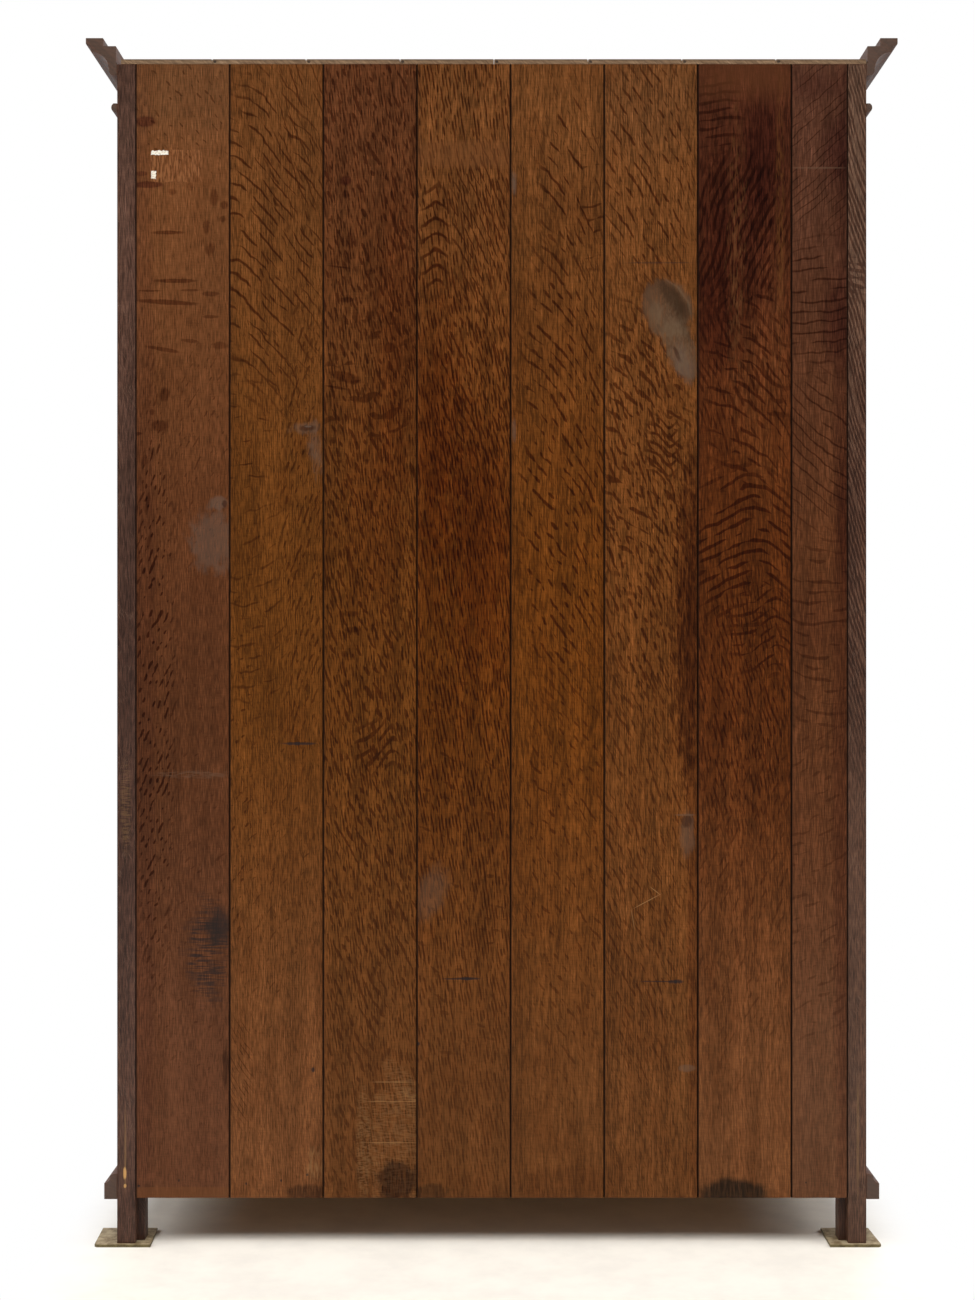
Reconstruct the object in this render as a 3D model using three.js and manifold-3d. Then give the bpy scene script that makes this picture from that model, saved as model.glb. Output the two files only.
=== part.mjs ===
// A free-standing two-door oak wardrobe, built as a joiner builds it: rabbeted posts carry tenoned rails,
// the back is upright tongued and grooved boards, and mitred mouldings run round the front and sides.
// Millimetres, +Z up. The doors face -Y, and left and right are those of someone who faces the doors.
// One side is modelled, the right one, and a mirrored group makes the other.

import * as THREE from "three";
import { ConvexGeometry } from "three/addons/geometries/ConvexGeometry.js";
import { mergeVertices } from "three/addons/utils/BufferGeometryUtils.js";
import Module from "manifold-3d";

const wasm = await Module();
wasm.setup();

// Driving sizes
const OVERALL_HEIGHT = 2000; // floor to the top of the cornice
const CASE_WIDTH = 1240; // over the outer faces of the posts
const CASE_DEPTH = 540; // over the front and rear faces of the posts
const LEG_HEIGHT = 78; // floor to the underside of the case

// Clearances
const HAIRLINE = 0.3; // between neighbours that are glued, nailed or resting
const OVERRUN = 6; // how far a cutting tool runs past the wood

// The rear posts show `face` beside the boards, and the rest of their width is the rabbet floor.
const POST = { width: 43, depth: 45, face: 30 };
const TENON = { length: 20, shoulder: 14, thicknessShare: 1 / 3 };

const BACK_BOARD = { thickness: 16, pitch: 155, joint: 0.6, chamfer: 1.2, aboveCaseBottom: 2 };
const TONGUE = { length: 7, thickness: 5, bottoming: 1 };
const LEAST_LAST_BOARD_SHARE = 0.35; // the last board is at least this much of a whole one

const SIDE_RAIL = { thickness: 27, topHeight: 110, bottomHeight: 90 };
const REAR_RAIL = { thickness: 22, topHeight: 70, bottomHeight: 90 };
const FRONT_RAIL = { friezeHeight: 107, thresholdHeight: 90, lip: 10 };
const MUNTIN = { width: 50 };

const PANEL = { edge: 7, housing: 10, play: 1, bevelWidth: 38, bevelRise: 5.5, margin: 6 };
const SIDE_PANEL_SETBACK = 8; // outer face of the case to the panel's groove

const ROOF = { thickness: 8, pitch: 155.5, firstBoard: 150.7, endInset: 6.5, frontInset: 2, groove: 2 };
const FLOOR = { thickness: 16, housing: 8, belowThreshold: 18, boardWidth: 124, groove: 2 };

const CORNICE = {
  height: 61,
  depth: 52, // how far it stands out from the case
  aboveRoof: 35,
  footDepth: 10.8, // of the underside
  footRise: 5,
  bandDepth: 13.9, // the narrow band over the foot
  bandTop: 11.6,
  coveStart: 14.9, // depth where the cavetto leaves the band
  coveBottom: 12.4,
  coveTop: 38.2,
  coveEnd: 43.5, // depth where the cavetto meets the upper fillet
  filletLean: 2,
  lipBottom: 48.6,
  lipRound: 4,
  topInner: 23.2, // depth of the back of the top fillet
  shelfRise: 47.7, // the step cut in the back
  rebate: 2, // the upper back stands off the case by this much
  rebateStart: 20,
};
const BEAD = { height: 14, depth: 10, root: 4.5, topSquare: 6.5, bottomSquare: 5.8, drop: 73, noseDegrees: 62 };
const PLINTH = { height: 42, depth: 21.5, square: 26.5, neck: 38, neckDepth: 11.6, topFlat: 1.7 };
const CURVE_STEPS = 8;

// Each foot pad is a little different, cut by hand.
const PAD = { thickness: 5, depth: 90, rearOverhang: 6, frontOverhang: 18, clip: 4 };
const PAD_WIDTH = { right: 93, left: 85 };
const PAD_OVERHANG = { right: 37, left: 24 };
// How far the inner end of a pad's outer and inner edge lies further out than its outer end
const PAD_SKEW = { right: { outer: 3.5, inner: 3.5 }, left: { outer: -4, inner: 0 } };

const HAT_SPACE = 300; // top of the hat shelf to the roof
const SHELF = { thickness: 16, frontSetback: 0.5 };
const BEARER = { height: 80, thickness: 22, lap: 15 };
const HANGING_RAIL = { radius: 14, drop: 48, fit: 0.4, endPlay: 1 };

const DOOR = { thickness: 24, setback: 1, edgeGap: 2, stile: 75, topRail: 75, bottomRail: 95, chamfer: 6, scribe: 0.6 };
const HINGE = {
  height: 76,
  leafDepth: 30, // from the pin to the back edge of a leaf
  thickness: 2.5,
  barrel: 5,
  pin: 2.2,
  bore: 2.6,
  standOff: 6, // pin centre in front of the case
  fromDoorEnd: 200, // end of the door to the middle of the hinge
  knucklePlay: 0.4,
  leafPlay: 0.15, // from the middle of the joint to the face of a leaf
  finial: 3.6,
};
const KNUCKLES = 5;

const LOCK = { keyHeight: 1000, backset: 30, edgeInset: 3, length: 58, above: 30, below: 18, depth: 16, wall: 1.6 };
const BOLT = { height: 16, thickness: 6, length: 52, rise: 8, throw: 12, fit: 0.4, mortisePlay: 1, mortiseEnd: 2 };
const KEY = {
  shank: 3.2,
  holeFit: 0.35,
  reach: 12.5, // pin centre to the end of the bit
  bitThickness: 3,
  bitLength: 8,
  neck: 20, // door face to the bow
  bowRadius: 13,
  bowWidth: 4.5,
  bowThickness: 4,
  collar: 5.2,
  collarLength: 4,
  tipInset: 3, // end of the shank to the back of the lock case
  bitPlay: 1.5, // between the bit and the notch that it turns in
};

const SIDES = { right: 1, left: -1 };
const RADIAL = { fine: 24, medium: 16, small: 12 };

// Planes that pieces share
const HALF_WIDTH = CASE_WIDTH / 2;
const HALF_DEPTH = CASE_DEPTH / 2;
const ROOF_TOP = OVERALL_HEIGHT - CORNICE.aboveRoof;
const CASE_TOP = ROOF_TOP - ROOF.thickness;
const POST_X = HALF_WIDTH - POST.width; // inner faces of the posts
const POST_Y = HALF_DEPTH - POST.depth;
const BACK_Y = HALF_DEPTH - BACK_BOARD.thickness; // inner face of the back boards
const BACK_BOTTOM = LEG_HEIGHT + BACK_BOARD.aboveCaseBottom;
const SIDE_X = HALF_WIDTH - SIDE_RAIL.thickness; // inner faces of the side rails
const REAR_RAIL_Y = BACK_Y - HAIRLINE - REAR_RAIL.thickness;
const THRESHOLD_TOP = LEG_HEIGHT + FRONT_RAIL.thresholdHeight;
const FRIEZE_BOTTOM = CASE_TOP - HAIRLINE - FRONT_RAIL.friezeHeight;
const FLOOR_TOP = THRESHOLD_TOP - FLOOR.belowThreshold;
const SHELF_TOP = CASE_TOP - HAT_SPACE;
const DOOR_FRONT = -HALF_DEPTH + DOOR.setback;
const DOOR_BACK = DOOR_FRONT + DOOR.thickness;
const DOOR_BOTTOM = THRESHOLD_TOP - FRONT_RAIL.lip + DOOR.edgeGap;
const DOOR_TOP = FRIEZE_BOTTOM + FRONT_RAIL.lip - DOOR.edgeGap;
const DOOR_INNER = MUNTIN.width / 2 + DOOR.edgeGap; // meeting edge
const DOOR_OUTER = POST_X - DOOR.edgeGap; // hinge edge
const LIP_Y = DOOR_BACK + DOOR.scribe; // front of the lips that stop the doors
const PIN_X = POST_X - DOOR.edgeGap / 2;
const PIN_Y = -HALF_DEPTH - HINGE.standOff;
const KEY_X = DOOR_INNER + LOCK.backset;
const CASE_FRONT_OF_LOCK = DOOR_BACK + HAIRLINE;
const LOCK_BACK = CASE_FRONT_OF_LOCK + LOCK.depth;
const BOLT_Y = CASE_FRONT_OF_LOCK + (LOCK.depth - LOCK.wall) / 2;
const BOLT_LOW = LOCK.keyHeight + BOLT.rise;
const BOLT_HEAD = DOOR_INNER + LOCK.edgeInset;
const BOLT_TAIL = BOLT_HEAD + BOLT.length;

const wardrobe = new THREE.Group();
wardrobe.position.y = (CORNICE.depth - PAD.rearOverhang) / 2; // the origin is under the middle of it all

// Finishes
const FINISH = {
  backOak: { color: 0x633d20, roughness: 0.42, metalness: 0 },
  frameOak: { color: 0x523a2c, roughness: 0.4, metalness: 0 },
  frontOak: { color: 0x6a4020, roughness: 0.32, metalness: 0 },
  rawOak: { color: 0x9a7448, roughness: 0.7, metalness: 0 },
  hardboard: { color: 0xa08e6e, roughness: 0.6, metalness: 0 },
  brass: { color: 0x9c7b3c, roughness: 0.35, metalness: 1 },
  iron: { color: 0x4a4641, roughness: 0.5, metalness: 1 },
};

// A three.js geometry as a solid that can be joined and cut
function solidOf(geometry) {
  const bare = geometry.index ? geometry.toNonIndexed() : geometry.clone();
  bare.deleteAttribute("normal");
  bare.deleteAttribute("uv");
  const merged = mergeVertices(bare);
  return new wasm.Manifold(
    new wasm.Mesh({
      numProp: 3,
      vertProperties: merged.attributes.position.array,
      triVerts: new Uint32Array(merged.index.array),
    }),
  );
}

function geometryOf(solid) {
  const { vertProperties, triVerts } = solid.getMesh();
  const geometry = new THREE.BufferGeometry();
  geometry.setAttribute("position", new THREE.BufferAttribute(vertProperties, 3));
  geometry.setIndex(new THREE.BufferAttribute(triVerts, 1));
  geometry.computeVertexNormals();
  return geometry;
}

function addPiece(group, name, solid, finish) {
  const piece = new THREE.Mesh(geometryOf(solid), new THREE.MeshStandardMaterial(FINISH[finish]));
  piece.name = name;
  group.add(piece);
}

const cut = (solid, tools) => tools.reduce((left, tool) => left.subtract(tool), solid);
const join = (solids) => solids.reduce((all, next) => all.add(next));

// A rectangular block between two corners
function block([x0, y0, z0], [x1, y1, z1]) {
  const geometry = new THREE.BoxGeometry(x1 - x0, y1 - y0, z1 - z0);
  return solidOf(geometry.translate((x0 + x1) / 2, (y0 + y1) / 2, (z0 + z1) / 2));
}

// An upright bar whose section is an outline of [x, y] points
function upright(outline, bottom, top) {
  const shape = new THREE.Shape(outline.map(([x, y]) => new THREE.Vector2(x, y)));
  const geometry = new THREE.ExtrudeGeometry(shape, { depth: top - bottom, bevelEnabled: false });
  return solidOf(geometry.translate(0, 0, bottom));
}

// A round rod from a point, along one axis
function rod(radius, segments, [x, y, z], axis, length) {
  const geometry = new THREE.CylinderGeometry(radius, radius, length, segments).translate(0, length / 2, 0);
  if (axis === "x") geometry.rotateZ(-Math.PI / 2);
  if (axis === "z") geometry.rotateX(Math.PI / 2);
  return solidOf(geometry.translate(x, y, z));
}

// A tenoned rail: a block with a stub tenon at both ends of its run, and the mortises that take them.
// run and thin are the indices of the axis that it runs along and of its thickness.
function tenonedRail(low, high, run, thin) {
  const wide = [0, 1, 2].find((axis) => axis !== run && axis !== thin);
  const slack = ((high[thin] - low[thin]) * (1 - TENON.thicknessShare)) / 2;
  const tenon = (end, grow) => {
    const [from, to] = [[...low], [...high]];
    from[thin] += slack - grow;
    to[thin] -= slack - grow;
    from[wide] += TENON.shoulder - grow;
    to[wide] -= TENON.shoulder - grow;
    from[run] = end < 0 ? low[run] - TENON.length - grow : high[run] - TENON.length;
    to[run] = end < 0 ? low[run] + TENON.length : high[run] + TENON.length + grow;
    return block(from, to);
  };
  return {
    solid: join([block(low, high), tenon(-1, 0), tenon(1, 0)]),
    mortises: [tenon(-1, HAIRLINE), tenon(1, HAIRLINE)],
  };
}

// Points of a quarter of an ellipse or more, in degrees
function arc([cx, cy], [rx, ry], fromDegrees, toDegrees) {
  return Array.from({ length: CURVE_STEPS + 1 }, (_, i) => {
    const angle = THREE.MathUtils.degToRad(fromDegrees + ((toDegrees - fromDegrees) * i) / CURVE_STEPS);
    return [cx + rx * Math.cos(angle), cy + ry * Math.sin(angle)];
  });
}

const front = {
  threshold: tenonedRail(
    [-POST_X + HAIRLINE, -HALF_DEPTH, LEG_HEIGHT],
    [POST_X - HAIRLINE, -POST_Y, THRESHOLD_TOP],
    0,
    1,
  ),
  frieze: tenonedRail(
    [-POST_X + HAIRLINE, -HALF_DEPTH, FRIEZE_BOTTOM],
    [POST_X - HAIRLINE, -POST_Y, CASE_TOP - HAIRLINE],
    0,
    1,
  ),
  muntin: tenonedRail(
    [-MUNTIN.width / 2, -HALF_DEPTH, THRESHOLD_TOP - FRONT_RAIL.lip + HAIRLINE],
    [MUNTIN.width / 2, -POST_Y, FRIEZE_BOTTOM + FRONT_RAIL.lip - HAIRLINE],
    2,
    1,
  ),
};
const rear = {
  top: tenonedRail(
    [-POST_X + HAIRLINE, REAR_RAIL_Y, CASE_TOP - HAIRLINE - REAR_RAIL.topHeight],
    [POST_X - HAIRLINE, BACK_Y - HAIRLINE, CASE_TOP - HAIRLINE],
    0,
    1,
  ),
  bottom: tenonedRail(
    [-POST_X + HAIRLINE, REAR_RAIL_Y, BACK_BOTTOM],
    [POST_X - HAIRLINE, BACK_Y - HAIRLINE, BACK_BOTTOM + REAR_RAIL.bottomHeight],
    0,
    1,
  ),
};
const side = {
  top: tenonedRail(
    [SIDE_X, -POST_Y + HAIRLINE, CASE_TOP - HAIRLINE - SIDE_RAIL.topHeight],
    [HALF_WIDTH, POST_Y - HAIRLINE, CASE_TOP - HAIRLINE],
    1,
    0,
  ),
  bottom: tenonedRail(
    [SIDE_X, -POST_Y + HAIRLINE, LEG_HEIGHT],
    [HALF_WIDTH, POST_Y - HAIRLINE, LEG_HEIGHT + SIDE_RAIL.bottomHeight],
    1,
    0,
  ),
};

// The side panel's groove runs round the two rails and the two posts.
const SIDE_PANEL_BOTTOM = LEG_HEIGHT + SIDE_RAIL.bottomHeight;
const SIDE_PANEL_TOP = CASE_TOP - HAIRLINE - SIDE_RAIL.topHeight;
const sideGroove = block(
  [
    HALF_WIDTH - SIDE_PANEL_SETBACK - PANEL.edge - HAIRLINE,
    -POST_Y - PANEL.housing,
    SIDE_PANEL_BOTTOM - PANEL.housing,
  ],
  [HALF_WIDTH - SIDE_PANEL_SETBACK + HAIRLINE, POST_Y + PANEL.housing, SIDE_PANEL_TOP + PANEL.housing],
);

// Hinge heights, by name
const HINGES = { upper: DOOR_TOP - HINGE.fromDoorEnd, lower: DOOR_BOTTOM + HINGE.fromDoorEnd };
const hingePocket = (x0, x1, z) =>
  block(
    [x0, -HALF_DEPTH - OVERRUN, z - HINGE.height / 2 - HAIRLINE],
    [x1, PIN_Y + HINGE.leafDepth + HAIRLINE, z + HINGE.height / 2 + HAIRLINE],
  );
const LEAF_INNER = HINGE.leafPlay;
const LEAF_OUTER = HINGE.leafPlay + HINGE.thickness;

function buildPosts(group, suffix) {
  const bottom = PAD.thickness + HAIRLINE;
  const top = CASE_TOP - HAIRLINE;
  const joints = [...side.top.mortises, ...side.bottom.mortises, sideGroove];
  const rabbetX = HALF_WIDTH - POST.face;
  const rabbetY = BACK_Y - HAIRLINE;
  const rearPost = upright(
    [
      [POST_X, POST_Y],
      [HALF_WIDTH, POST_Y],
      [HALF_WIDTH, HALF_DEPTH],
      [rabbetX, HALF_DEPTH],
      [rabbetX, rabbetY],
      [POST_X, rabbetY],
    ],
    bottom,
    top,
  );
  addPiece(
    group,
    `rear_post_${suffix}`,
    cut(rearPost, [...joints, ...rear.top.mortises, ...rear.bottom.mortises]),
    "frameOak",
  );
  const frontPost = block([POST_X, -HALF_DEPTH, bottom], [HALF_WIDTH, -POST_Y, top]);
  const pockets = Object.values(HINGES).map((z) =>
    hingePocket(POST_X - OVERRUN, PIN_X + LEAF_OUTER + HAIRLINE, z),
  );
  addPiece(
    group,
    `front_post_${suffix}`,
    cut(frontPost, [...joints, ...front.threshold.mortises, ...front.frieze.mortises, ...pockets]),
    "frontOak",
  );
}

// Section of a back board: tongue on its left, groove on its right, both absent at the ends of the row
function boardSection(left, right, hasTongue, hasGroove) {
  const { chamfer, thickness } = BACK_BOARD;
  const middle = HALF_DEPTH - thickness / 2;
  const half = TONGUE.thickness / 2;
  const mouth = half + HAIRLINE;
  const depth = TONGUE.length + TONGUE.bottoming;
  const tip = left - BACK_BOARD.joint - TONGUE.length;
  const groove = [
    [right, middle - mouth],
    [right - depth, middle - mouth],
    [right - depth, middle + mouth],
    [right, middle + mouth],
  ];
  const tongue = [
    [left, middle + half],
    [tip, middle + half],
    [tip, middle - half],
    [left, middle - half],
  ];
  return [
    [left, BACK_Y],
    [right, BACK_Y],
    ...(hasGroove ? groove : []),
    [right, HALF_DEPTH - chamfer],
    [right - chamfer, HALF_DEPTH],
    [left + chamfer, HALF_DEPTH],
    [left, HALF_DEPTH - chamfer],
    ...(hasTongue ? tongue : []),
  ];
}

// The row starts against the right post, with whole boards, and ends with a narrower one.
function buildBack(group) {
  const reach = HALF_WIDTH - POST.face - HAIRLINE;
  const whole = Math.floor((2 * reach) / BACK_BOARD.pitch - LEAST_LAST_BOARD_SHARE);
  for (let i = 0; i <= whole; i++) {
    const isLast = i === whole;
    const right = reach - i * BACK_BOARD.pitch - (i ? BACK_BOARD.joint / 2 : 0);
    const left = isLast ? -reach : reach - (i + 1) * BACK_BOARD.pitch + BACK_BOARD.joint / 2;
    const section = boardSection(left, right, !isLast, i > 0);
    addPiece(group, `back_board_${i + 1}`, upright(section, BACK_BOTTOM, CASE_TOP - HAIRLINE), "backOak");
  }
}

// Grooves of V section along Y in the top face of a boarded surface
function boardJoints(from, to, pitch, size, top, y0, y1) {
  const joints = [];
  for (let x = from - pitch; x > to + pitch / 2; x -= pitch) {
    const shape = new THREE.Shape([
      new THREE.Vector2(x, top - size),
      new THREE.Vector2(x + size, top + size),
      new THREE.Vector2(x - size, top + size),
    ]);
    const geometry = new THREE.ExtrudeGeometry(shape, { depth: y1 - y0 + 2 * OVERRUN, bevelEnabled: false });
    joints.push(solidOf(geometry.rotateX(Math.PI / 2).translate(0, y1 + OVERRUN, 0)));
  }
  return joints;
}

function buildRoof(group) {
  const from = HALF_WIDTH - ROOF.endInset;
  const y0 = -HALF_DEPTH + ROOF.frontInset;
  const slab = block([-HALF_WIDTH, y0, CASE_TOP], [from, HALF_DEPTH, ROOF_TOP]);
  const start = from - ROOF.firstBoard + ROOF.pitch;
  const joints = boardJoints(start, -HALF_WIDTH, ROOF.pitch, ROOF.groove, ROOF_TOP, y0, HALF_DEPTH);
  addPiece(group, "roof_boards", cut(slab, joints), "rawOak");
}

// Floor boards, housed in grooves that run round the four bottom rails and notched round the posts
const floorBlocks = (grow) => [
  block(
    [-SIDE_X - FLOOR.housing - grow, -POST_Y + HAIRLINE, FLOOR_TOP - FLOOR.thickness - grow],
    [SIDE_X + FLOOR.housing + grow, POST_Y - HAIRLINE, FLOOR_TOP + grow],
  ),
  block(
    [-POST_X + HAIRLINE, -POST_Y - FLOOR.housing - grow, FLOOR_TOP - FLOOR.thickness - grow],
    [POST_X - HAIRLINE, REAR_RAIL_Y + FLOOR.housing + grow, FLOOR_TOP + grow],
  ),
];

function buildFloor(group) {
  const joints = boardJoints(
    SIDE_X,
    -SIDE_X,
    FLOOR.boardWidth,
    FLOOR.groove,
    FLOOR_TOP,
    -POST_Y - FLOOR.housing,
    REAR_RAIL_Y + FLOOR.housing,
  );
  addPiece(group, "floor_boards", cut(join(floorBlocks(0)), joints), "rawOak");
}

function buildRails(group) {
  const housing = floorBlocks(HAIRLINE);
  const rebate = (z0, z1) =>
    block([-HALF_WIDTH, -HALF_DEPTH - OVERRUN, z0], [HALF_WIDTH, LIP_Y, z1]);
  const threshold = cut(front.threshold.solid, [
    ...housing,
    ...front.muntin.mortises,
    rebate(THRESHOLD_TOP - FRONT_RAIL.lip, THRESHOLD_TOP + OVERRUN),
  ]);
  const frieze = cut(front.frieze.solid, [
    ...front.muntin.mortises,
    rebate(FRIEZE_BOTTOM - OVERRUN, FRIEZE_BOTTOM + FRONT_RAIL.lip),
  ]);
  addPiece(group, "threshold_rail", threshold, "frontOak");
  addPiece(group, "frieze_rail", frieze, "frontOak");
  addPiece(group, "rear_top_rail", rear.top.solid, "rawOak");
  addPiece(group, "rear_bottom_rail", cut(rear.bottom.solid, housing), "rawOak");
}

// The muntin straddles the lips of both rails, and is mortised on both sides for the lock bolts.
function buildMuntin(group) {
  const lip = (z0, z1) =>
    block([-MUNTIN.width, LIP_Y - HAIRLINE, z0], [MUNTIN.width, -POST_Y + OVERRUN, z1]);
  const [lowTenon, highTenon] = front.muntin.mortises;
  const body = cut(front.muntin.solid, [
    lip(THRESHOLD_TOP - FRONT_RAIL.lip - OVERRUN, THRESHOLD_TOP + HAIRLINE).subtract(lowTenon),
    lip(FRIEZE_BOTTOM - HAIRLINE, FRIEZE_BOTTOM + FRONT_RAIL.lip + OVERRUN).subtract(highTenon),
  ]);
  const reach = DOOR_INNER + LOCK.edgeInset - BOLT.throw - BOLT.mortiseEnd;
  const mortise = (x0, x1) =>
    block(
      [x0, BOLT_Y - BOLT.thickness / 2 - BOLT.mortisePlay, BOLT_LOW - BOLT.mortisePlay],
      [x1, BOLT_Y + BOLT.thickness / 2 + BOLT.mortisePlay, BOLT_LOW + BOLT.height + BOLT.mortisePlay],
    );
  const outer = MUNTIN.width / 2 + OVERRUN;
  addPiece(group, "centre_muntin", cut(body, [mortise(reach, outer), mortise(-outer, -reach)]), "frontOak");
}

// A fielded panel in the X and Z of a frame opening: a flat board, thin at the edge, whose raised field
// faces -Y
function fieldedPanel(low, high, faceY) {
  const { bevelWidth, bevelRise, margin, housing, play, edge } = PANEL;
  const slab = block(
    [low[0] - housing + play, faceY, low[1] - housing + play],
    [high[0] + housing - play, faceY + edge, high[1] + housing - play],
  );
  const corners = (inset, y) => [
    new THREE.Vector3(low[0] + inset, y, low[1] + inset),
    new THREE.Vector3(high[0] - inset, y, low[1] + inset),
    new THREE.Vector3(high[0] - inset, y, high[1] - inset),
    new THREE.Vector3(low[0] + inset, y, high[1] - inset),
  ];
  const field = solidOf(
    new ConvexGeometry([...corners(margin, faceY), ...corners(margin + bevelWidth, faceY - bevelRise)]),
  );
  return join([slab, field]);
}

function buildSide(group, suffix) {
  const housing = floorBlocks(HAIRLINE);
  addPiece(group, `side_top_rail_${suffix}`, cut(side.top.solid, [sideGroove]), "frameOak");
  addPiece(group, `side_bottom_rail_${suffix}`, cut(side.bottom.solid, [sideGroove, ...housing]), "frameOak");
  // Drawn facing -Y over the side's own opening, then turned to face +X
  const panel = fieldedPanel(
    [-POST_Y, SIDE_PANEL_BOTTOM],
    [POST_Y, SIDE_PANEL_TOP],
    -HALF_WIDTH + SIDE_PANEL_SETBACK,
  ).rotate([0, 0, 90]);
  addPiece(group, `side_panel_${suffix}`, panel, "frameOak");
}

// A moulding of profile [depth, height], run from one place to another. place gives the point for a
// profile point at either end, so a mitre is an end whose place moves out with the depth.
function moulding(profile, place) {
  const shape = new THREE.Shape(profile.map(([u, v]) => new THREE.Vector2(u, v)));
  const geometry = new THREE.ExtrudeGeometry(shape, { depth: 1, bevelEnabled: false });
  const position = geometry.getAttribute("position");
  for (let i = 0; i < position.count; i++) {
    position.setXYZ(i, ...place(position.getX(i), position.getY(i), position.getZ(i)));
  }
  return solidOf(geometry);
}

const corniceProfile = () => {
  const c = CORNICE;
  return [
    [HAIRLINE, 0],
    [c.footDepth, 0],
    [c.bandDepth, c.footRise],
    [c.bandDepth, c.bandTop],
    ...arc([c.coveEnd, c.coveBottom], [c.coveEnd - c.coveStart, c.coveTop - c.coveBottom], 180, 90),
    [c.coveEnd + c.filletLean, c.lipBottom],
    ...arc([c.depth - c.lipRound, c.lipBottom + c.lipRound], [c.lipRound, c.lipRound], -90, 0),
    [c.depth, c.height],
    [c.topInner, c.height],
    [c.topInner, c.shelfRise],
    [c.rebate, c.shelfRise],
    [c.rebate, c.rebateStart],
    [HAIRLINE, c.rebateStart],
  ];
};

const beadProfile = () => {
  const b = BEAD;
  const middle = b.height / 2;
  return [
    [HAIRLINE, 0],
    [b.bottomSquare, 0],
    ...arc([b.root, middle], [b.depth - b.root, middle], -b.noseDegrees, b.noseDegrees),
    [b.topSquare, b.height],
    [HAIRLINE, b.height],
  ];
};

const plinthProfile = () => {
  const p = PLINTH;
  const cove = [p.depth - p.neckDepth, p.neck - p.square];
  const round = [p.neckDepth - p.topFlat, p.height - p.neck];
  return [
    [HAIRLINE, 0],
    [p.depth, 0],
    ...arc([p.depth, p.neck], cove, 270, 180),
    ...arc([p.topFlat, p.neck], round, 0, 90).slice(1),
    [HAIRLINE, p.height],
  ];
};

function buildMouldings() {
  const runs = [
    ["cornice", corniceProfile(), OVERALL_HEIGHT - CORNICE.height],
    ["necking_bead", beadProfile(), ROOF_TOP - BEAD.drop - BEAD.height],
    ["plinth", plinthProfile(), LEG_HEIGHT],
  ];
  const gap = HAIRLINE / 2;
  for (const [name, profile, z] of runs) {
    const across = (u, v, t) => [(1 - 2 * t) * (HALF_WIDTH + u - gap), -HALF_DEPTH - u, z + v];
    addPiece(wardrobe, `${name}_front`, moulding(profile, across), "frontOak");
    for (const [suffix, sign] of Object.entries(SIDES)) {
      const along = (u, v, t) => [
        HALF_WIDTH + u,
        THREE.MathUtils.lerp(HALF_DEPTH, -HALF_DEPTH - u + gap, t),
        z + v,
      ];
      const group = new THREE.Group();
      group.scale.x = sign;
      wardrobe.add(group);
      addPiece(group, `${name}_${suffix}`, moulding(profile, along), "frameOak");
    }
  }
}

// Pads of hardboard under the feet, each with a clipped outer corner and edges that are a little askew
function buildPads(group, suffix) {
  const outer = HALF_WIDTH + PAD_OVERHANG[suffix];
  const inner = outer - PAD_WIDTH[suffix];
  const skew = PAD_SKEW[suffix];
  const pad = (end, inward) =>
    upright(
      [
        [inner, end],
        [outer - PAD.clip, end],
        [outer, end - inward * PAD.clip],
        [outer + skew.outer, end - inward * PAD.depth],
        [inner + skew.inner, end - inward * PAD.depth],
      ],
      0,
      PAD.thickness,
    );
  addPiece(group, `foot_pad_rear_${suffix}`, pad(HALF_DEPTH + PAD.rearOverhang, 1), "hardboard");
  addPiece(group, `foot_pad_front_${suffix}`, pad(-HALF_DEPTH - PAD.frontOverhang, -1), "hardboard");
}

function buildInterior() {
  const shelfBottom = SHELF_TOP - SHELF.thickness;
  const panelX = HALF_WIDTH - SIDE_PANEL_SETBACK - PANEL.edge - SHELF.frontSetback;
  const shelf = join([
    block([-panelX, -POST_Y + SHELF.frontSetback, shelfBottom], [panelX, POST_Y - HAIRLINE, SHELF_TOP]),
    block(
      [-POST_X + HAIRLINE, -POST_Y + SHELF.frontSetback, shelfBottom],
      [POST_X - HAIRLINE, BACK_Y - HAIRLINE, SHELF_TOP],
    ),
  ]);
  addPiece(wardrobe, "hat_shelf", shelf, "rawOak");
  const railZ = shelfBottom - HANGING_RAIL.drop;
  const railX = POST_X - HANGING_RAIL.endPlay;
  const rail = rod(HANGING_RAIL.radius, RADIAL.fine, [-railX, 0, railZ], "x", 2 * railX);
  addPiece(wardrobe, "hanging_rail", rail, "rawOak");
  for (const [suffix, sign] of Object.entries(SIDES)) {
    const group = new THREE.Group();
    group.scale.x = sign;
    wardrobe.add(group);
    const inner = POST_X - HAIRLINE - BEARER.thickness;
    const bearer = block(
      [inner, -POST_Y - BEARER.lap, shelfBottom - HAIRLINE - BEARER.height],
      [POST_X - HAIRLINE, POST_Y + BEARER.lap, shelfBottom - HAIRLINE],
    );
    const socket = rod(
      HANGING_RAIL.radius + HANGING_RAIL.fit,
      RADIAL.fine,
      [inner - OVERRUN, 0, railZ],
      "x",
      BEARER.thickness + 2 * OVERRUN,
    );
    addPiece(group, `shelf_bearer_${suffix}`, bearer.subtract(socket), "rawOak");
  }
}

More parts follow.
